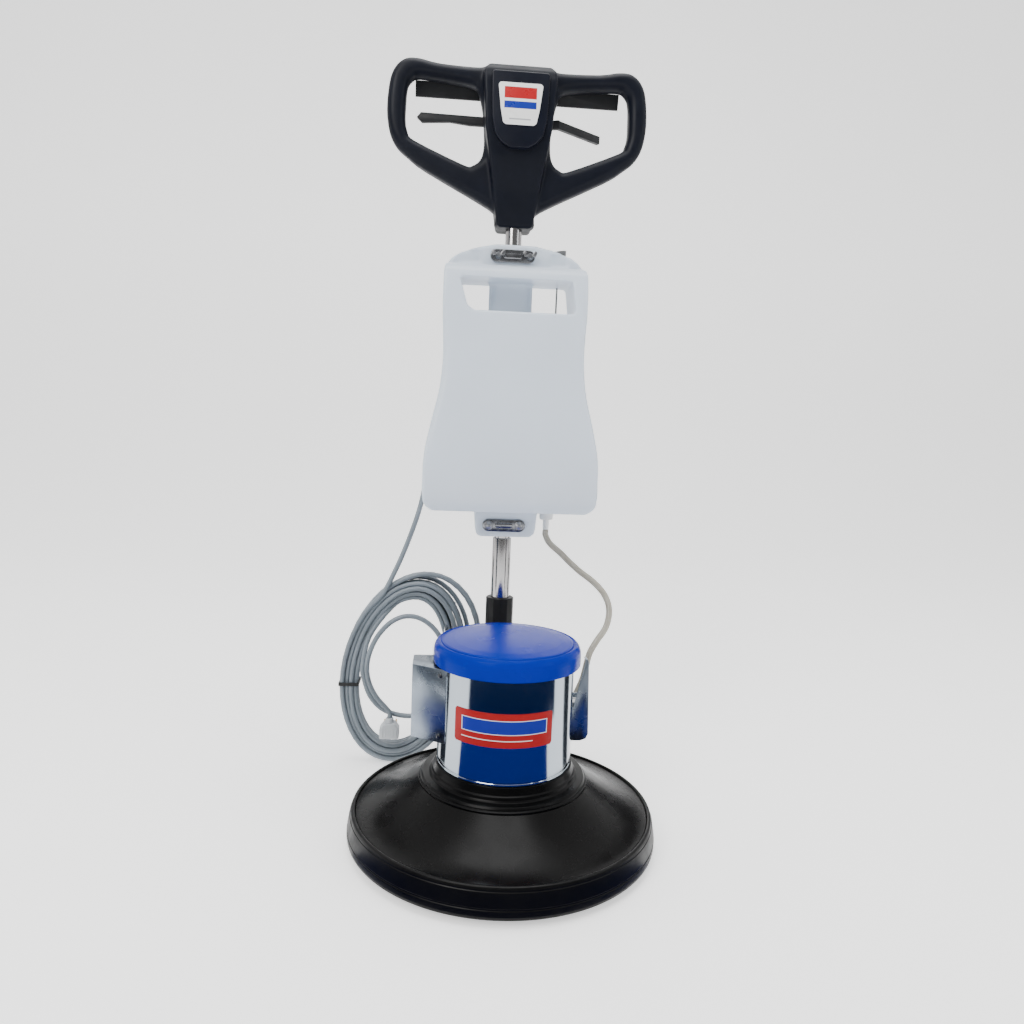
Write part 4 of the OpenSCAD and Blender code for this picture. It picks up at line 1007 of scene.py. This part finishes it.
def make_valve():
    x, y = 71, 205
    valve = lathe("tank_valve_body",
                  [(0, 412), (4.6, 412, 0.3), (5.2, 415, 0.3), (4.6, 416, 0.3), (5.2, 419, 0.3),
                                      (4.8, 428), (9, 428.2, 1), (11, 430, 1), (11, 446, 1), (9, 447.8, 1),
                                      (0, 447.8)],
                  (x, y, 0), segments=48)
    place(valve, "white_plastic", "handle", "tank_valve")
    rod = lathe("valve_rod_wire", [(0, 436.2), (1.3, 436.2, 0.3), (1.3, 842), (0, 842)], (*KNOB, 0),
                segments=20)
    place(rod, "dark_zinc", "water_valve", "valve_rod")
    # Ribbed knob with a sloping top
    sides, outline = 72, []
    for k in range(sides):
        a = 2 * math.pi * k / sides
        r = 12.1 - 0.45 * (1 + math.cos(18 * a)) / 2
        outline.append((KNOB[0] + r * math.cos(a), KNOB[1] + r * math.sin(a)))
    knob = prism("valve_knob", outline, 838.7, 857, "z", 0)
    lid = brick("cut", (20, 110), (160, 250), (851, 880))
    turn = Matrix.Translation((0.072, 0, 0.851)) @ Matrix.Rotation(math.radians(-12), 4,
                                                                   "Y") @ Matrix.Translation(
        (-0.072, 0, -0.851))
    lid.data.transform(turn)
    carve(knob, [lid])
    add_bevel(knob, 0.6, 2, 40)
    place(knob, "knob_grey", "water_valve", slot="valve_rod")
    cap_outline = []
    for k in range(96):
        a = 2 * math.pi * k / 96
        r = 19.4 - 0.6 * (1 + math.cos(24 * a)) / 2
        cap_outline.append((FILLER[0] + r * math.cos(a), FILLER[1] + r * math.sin(a)))
    lid = prism("tank_filler_cap", cap_outline, 819.2, 841.8, "z", 0)
    add_bevel(lid, 1.4, 3, 40)
    carve(lid, [lathe("c", [(0, 815), (15.9, 815), (15.9, 832.4, 0.5), (0, 832.4)], (*FILLER, 0),
                      segments=64)])
    place(lid, "white_plastic", "filler_cap", "tank_cap")


make_tank()
make_clamps()
make_valve()

# ------------------------------------------------------------------ handle head

HEAD_OUT = [
    (40, 1119), (52, 1114.5), (66, 1112), (122, 1114), (156, 1120), (174, 1116.5), (187, 1105), (195, 1085),
    (198.5, 1045), (194, 1012), (183, 991), (165, 976), (138, 958), (40, 908), (31, 894), (27, 881),
]
LOOP_IN = [
    (60, 1072), (68, 1084), (100, 1089), (150, 1093), (161, 1089), (168, 1078), (170, 1050), (170, 1027),
    (166, 1012), (156, 1001), (80, 970), (68, 970), (56, 979), (51, 1000), (53, 1040),
]
HOUSING = [(38, 1119), (47, 1113), (53, 1104), (55, 1095), (50, 1019), (38, 948), (28, 884), (25, 880)]
HEAD_SIDE = [
    (190, 1117), (176, 1112), (166, 1103), (162, 1088), (163, 1030), (168, 980), (178, 930), (184, 880),
    (236, 880), (237, 930), (240, 985), (242, 1040), (241, 1090), (234, 1112), (224, 1119),
]
HEAD_WALL = 3


def ring_route(points, n=3):
    """A closed outline through the points."""
    m = len(points)
    out = []
    for i in range(m):
        k = [points[(i + j) % m] for j in (-1, 0, 1, 2)]
        for step in range(n):
            t = step / n
            out.append(tuple(
                0.5 * (2 * b + (c - a) * t + (2 * a - 5 * b + 4 * c - d) * t * t + (3 * b - a - 3 * c + d) * t**3)
                for a, b, c, d in zip(*k)))
    return out


def round_plate(name, outer, holes, middle, half, radius):
    """An outline of x and z with holes, thickened along Y, with its rims rounded to that radius."""
    data = bpy.data.curves.new(name, "CURVE")
    data.dimensions = "2D"
    data.fill_mode = "BOTH"
    data.extrude = (half - radius) * MM
    data.bevel_depth = radius * MM
    data.bevel_resolution = 5
    data.offset = -radius * MM
    for points in [outer, *holes]:
        spline = data.splines.new("POLY")
        spline.points.add(len(points) - 1)
        for q, p in zip(spline.points, points):
            q.co = (p[0] * MM, p[1] * MM, 0, 1)
        spline.use_cyclic_u = True
    o = link(name, data)
    graph = bpy.context.evaluated_depsgraph_get()
    graph.update()
    mesh = bpy.data.meshes.new_from_object(o.evaluated_get(graph))
    bpy.data.objects.remove(o)
    mesh.transform(Matrix.Translation((0, middle * MM, 0)) @ Matrix.Rotation(math.radians(90), 4, "X"))
    return link(name, mesh)


def housing_form(name, inset):
    outline = mirrored([(x - inset, z) for x, z in HOUSING])
    o = prism(name, outline, 150, 250)
    side = [(y + (inset if y < 200 else -inset), z) for y, z in HEAD_SIDE]
    return carve(o, [prism("side", side, -80, 80, "x")], "INTERSECT")


def make_head():
    outer = [(x, min(z, 1119.4)) for x, z in ring_route(mirrored(HEAD_OUT))]
    holes = [ring_route(LOOP_IN), ring_route([(-x, z) for x, z in reversed(LOOP_IN)])]
    loops = round_plate("loops", outer, holes, 200, 16, 11.5)
    head = join("head", [loops, housing_form("housing", 0)])
    soften(head, 1.9, 14)
    hollow = housing_form("hollow", HEAD_WALL + 0.5)
    carve(hollow, [brick("b", (-80, 80), (150, 250), (905, 1115))], "INTERSECT")
    cutters = [
        lathe("c", [(0, 860), (12.75, 860), (12.75, 920), (0, 920)], (0, 200, 0), segments=64),
        lathe("c", [(0, 860), (7.1, 860), (7.1, 920), (0, 920)], (0, 227, 0), segments=48),
    ]
    carve(head, [hollow, *cutters], angle=40)
    rear = link("head_shell_rear", head.data.copy())
    head.name = "head_shell_front"
    gap = 0.15
    carve(head, [brick("half", (-260, 260), (200 - gap, 300), (850, 1150))], angle=40)
    rear_cutters = [
        brick("half", (-260, 260), (100, 200 + gap), (850, 1150)),
        brick("c", (-70, -30), (203.5, 215.3), (1030, 1062)),
        brick("c", (30, 70), (214, 228), (1030, 1070)),
        brick("c", (-64, -42), (214, 232), (1073, 1113)),
        brick("c", (42, 64), (214, 232), (1073, 1113)),
        lathe("c", [(0, 228), (9.4, 228), (9.4, 260), (0, 260)], (0, 0, 1060), "y", segments=48),
    ]
    for c in rear_cutters:
        carve(rear, [c], angle=40)
    place(head, "head_plastic", "handle", "head_front_shell")
    place(rear, "head_plastic", "handle", "head_rear_shell")
    outline = [(43, 1097, 5), (42.5, 1060, 20), (41, 1030, 20), (36, 1008, 12), (26, 996, 10),
               (13, 989, 12)]
    panel = prism("badge_surround", mirrored(outline), 158.6, 172, "y", 2.2, 4)
    place(panel, "panel_plastic", "handle", "badge_panel")
    plate = prism("head_plate_panel",
                  mirrored([(30, 1080, 4), (33, 1077, 3), (29, 1044, 10), (25, 1024, 4), (21, 1021, 3)]),
                  157.8, 158.8, "y", 0.3, 2)
    place(plate, "plate_white", "handle", "head_plate")


def make_levers():
    place(bevelled("release_lever_left_blade", 1.7, "release_lever_left", steps=3), "lever_plastic",
          "release_left",
          "release_lever_left")
    place(bevelled("release_lever_right_blade", 1.7, "release_lever_right", steps=3), "lever_plastic",
          "release_right",
          "release_lever_right")
    for side in ("left", "right"):
        place(bevelled(f"switch_lever_{side}_blade", 1.5, f"switch_lever_{side}", steps=3), "lever_plastic",
              f"switch_{side}", f"switch_lever_{side}")
    place(bevelled("safety_button_cap", 1.4, "safety_button", steps=3), "button_red", "button",
          "safety_button")


make_head()
make_levers()

# ------------------------------------------------------------------ nodes kept as they are, mostly inside

KEPT = {
    "gearbox_cover": "cast", "ring_gear": "steel", "upper_bracket": "cast", "bearings": "steel",
    "stator_core": "steel", "stator_windings": "copper", "planet_carrier": "steel", "clutch_plate": "cast",
    "planet_gear_1": "bronze", "planet_gear_2": "bronze", "planet_gear_3": "bronze", "motor_shaft": "steel",
    "rotor_core": "steel", "cooling_fan": "soft_black", "lock_rod": "steel", "lever_pins": "steel",
    "power_switch": "soft_black",
}
for name, finish in KEPT.items():
    mesh = NODES[name].data
    mesh.materials.clear()
    mesh.materials.append(MAT[finish])

# ------------------------------------------------------------------ floor and lights


def make_stage():
    size, bend, tall, deep = 7000.0, 1500.0, 5000.0, 3200.0
    profile = [(-size, 0), (deep - bend, 0)]
    profile += [(deep - bend + bend * math.sin(math.radians(9 * k)),
                 bend - bend * math.cos(math.radians(9 * k)))
                for k in range(1, 11)]
    profile.append((deep, tall))
    verts = [(x, y, z) for x in (-size, size) for y, z in profile]
    n = len(profile)
    floor = from_lists("studio_floor", verts, [(i, i + 1, n + i + 1, n + i) for i in range(n - 1)], 60)
    floor.data.materials.append(MAT["floor"])


def area_light(name, place_at, aim, size, power, colour=(1, 1, 1)):
    data = bpy.data.lights.new(name, "AREA")
    data.shape = "RECTANGLE"
    data.size, data.size_y = size
    data.energy = power
    data.color = colour
    o = bpy.data.objects.new(name, data)
    SCENE.collection.objects.link(o)
    o.location = place_at
    o.rotation_mode = "QUATERNION"
    o.rotation_quaternion = (Vector(aim) - Vector(place_at)).to_track_quat("-Z", "Y")
    return o


def make_world():
    """White studio, bright behind and above the object and dim on the camera's side."""
    world = bpy.data.worlds.new("studio")
    SCENE.world = world
    world.use_nodes = True
    tree = world.node_tree
    background = tree.nodes["Background"]
    coords = node(tree, "ShaderNodeTexCoord")
    split = node(tree, "ShaderNodeSeparateXYZ")
    tree.links.new(coords.outputs["Generated"], split.inputs[0])
    depth = span(tree, split.outputs["Y"], 0.22, 1.15, -0.55, 0.35)
    above = span(tree, split.outputs["Z"], 0.0, 0.55, 0.35, 1.0)
    total = node(tree, "ShaderNodeMath", operation="ADD")
    tree.links.new(depth, total.inputs[0])
    tree.links.new(above, total.inputs[1])
    tree.links.new(total.outputs[0], background.inputs["Strength"])
    background.inputs["Color"].default_value = (1, 1, 1, 1)


def card(name, verts, faces, colour):
    """A matt card that shows only in reflections."""
    mat = bpy.data.materials.new(name)
    mat.use_nodes = True
    bsdf = mat.node_tree.nodes["Principled BSDF"]
    bsdf.inputs["Base Color"].default_value = (*colour, 1)
    bsdf.inputs["Roughness"].default_value = 0.9
    bsdf.inputs["Specular IOR Level"].default_value = 0.0
    o = from_lists(name, verts, faces)
    o.data.materials.append(mat)
    o.visible_camera = False
    o.visible_shadow = False
    o.visible_diffuse = False
    o.visible_transmission = False


def upright_card(name, centre, width, height, colour):
    outward = math.atan2(centre[0], -centre[1])
    across = (math.cos(outward) * width / 2, math.sin(outward) * width / 2)
    verts = [(centre[0] + s * across[0], centre[1] + s * across[1], z) for s, z in
             ((-1, 0), (1, 0), (1, height), (-1, height))]
    card(name, verts, [(0, 1, 2, 3)], colour)


def floor_card(name, start, end, near, far, colour):
    """A sector lying on the floor, its angles taken from the front round to the right."""
    steps = 16
    verts = []
    for i in range(steps + 1):
        a = math.radians(start + (end - start) * i / steps)
        verts += [(near * math.sin(a), -near * math.cos(a), 2), (far * math.sin(a), -far * math.cos(a), 2)]
    card(name, verts, [(2 * i, 2 * i + 1, 2 * i + 3, 2 * i + 2) for i in range(steps)], colour)


def make_lights():
    make_world()
    area_light("key", (-1.5, -1.9, 2.4), (0, 0.05, 0.5), (1.3, 1.3), 62, (1.0, 0.98, 0.95))
    area_light("fill", (2.2, -1.2, 1.7), (0, 0.1, 0.5), (0.9, 1.6), 20, (0.95, 0.98, 1.0))
    area_light("top", (0.0, -0.1, 3.0), (0, 0.1, 0.4), (1.8, 1.8), 60)
    upright_card("card_left", (-1500, -700, 0), 520, 2200, (0.03, 0.04, 0.06))
    upright_card("card_right", (1500, -900, 0), 380, 2200, (0.05, 0.05, 0.055))
    upright_card("card_back_left", (-1200, 1500, 0), 420, 2200, (0.04, 0.04, 0.05))
    upright_card("card_back_right", (1200, 1500, 0), 420, 2200, (0.04, 0.04, 0.05))
    floor_card("floor_card_front", -74, 66, 225, 600, (0.003, 0.017, 0.17))
    floor_card("floor_card_front_far", -64, 80, 600, 1450, (0.003, 0.01, 0.04))
    floor_card("floor_card_right", 104, 122, 300, 3600, (0.02, 0.022, 0.028))
    floor_card("floor_card_back", 158, 196, 300, 2400, (0.012, 0.016, 0.03))
    floor_card("floor_card_left", 232, 252, 300, 3600, (0.02, 0.022, 0.028))


MAT["floor"] = material("floor", (0.86, 0.86, 0.86), 0.7, 0.0, 0.05, 2, 0.02, (60, 0.05, 0.0005),
                        specular=0.0)
FLOOR_BSDF = MAT["floor"].node_tree.nodes["Principled BSDF"]
FLOOR_BSDF.inputs["Emission Color"].default_value = (1, 1, 1, 1)
FLOOR_BSDF.inputs["Emission Strength"].default_value = 0.8
make_stage()
make_lights()
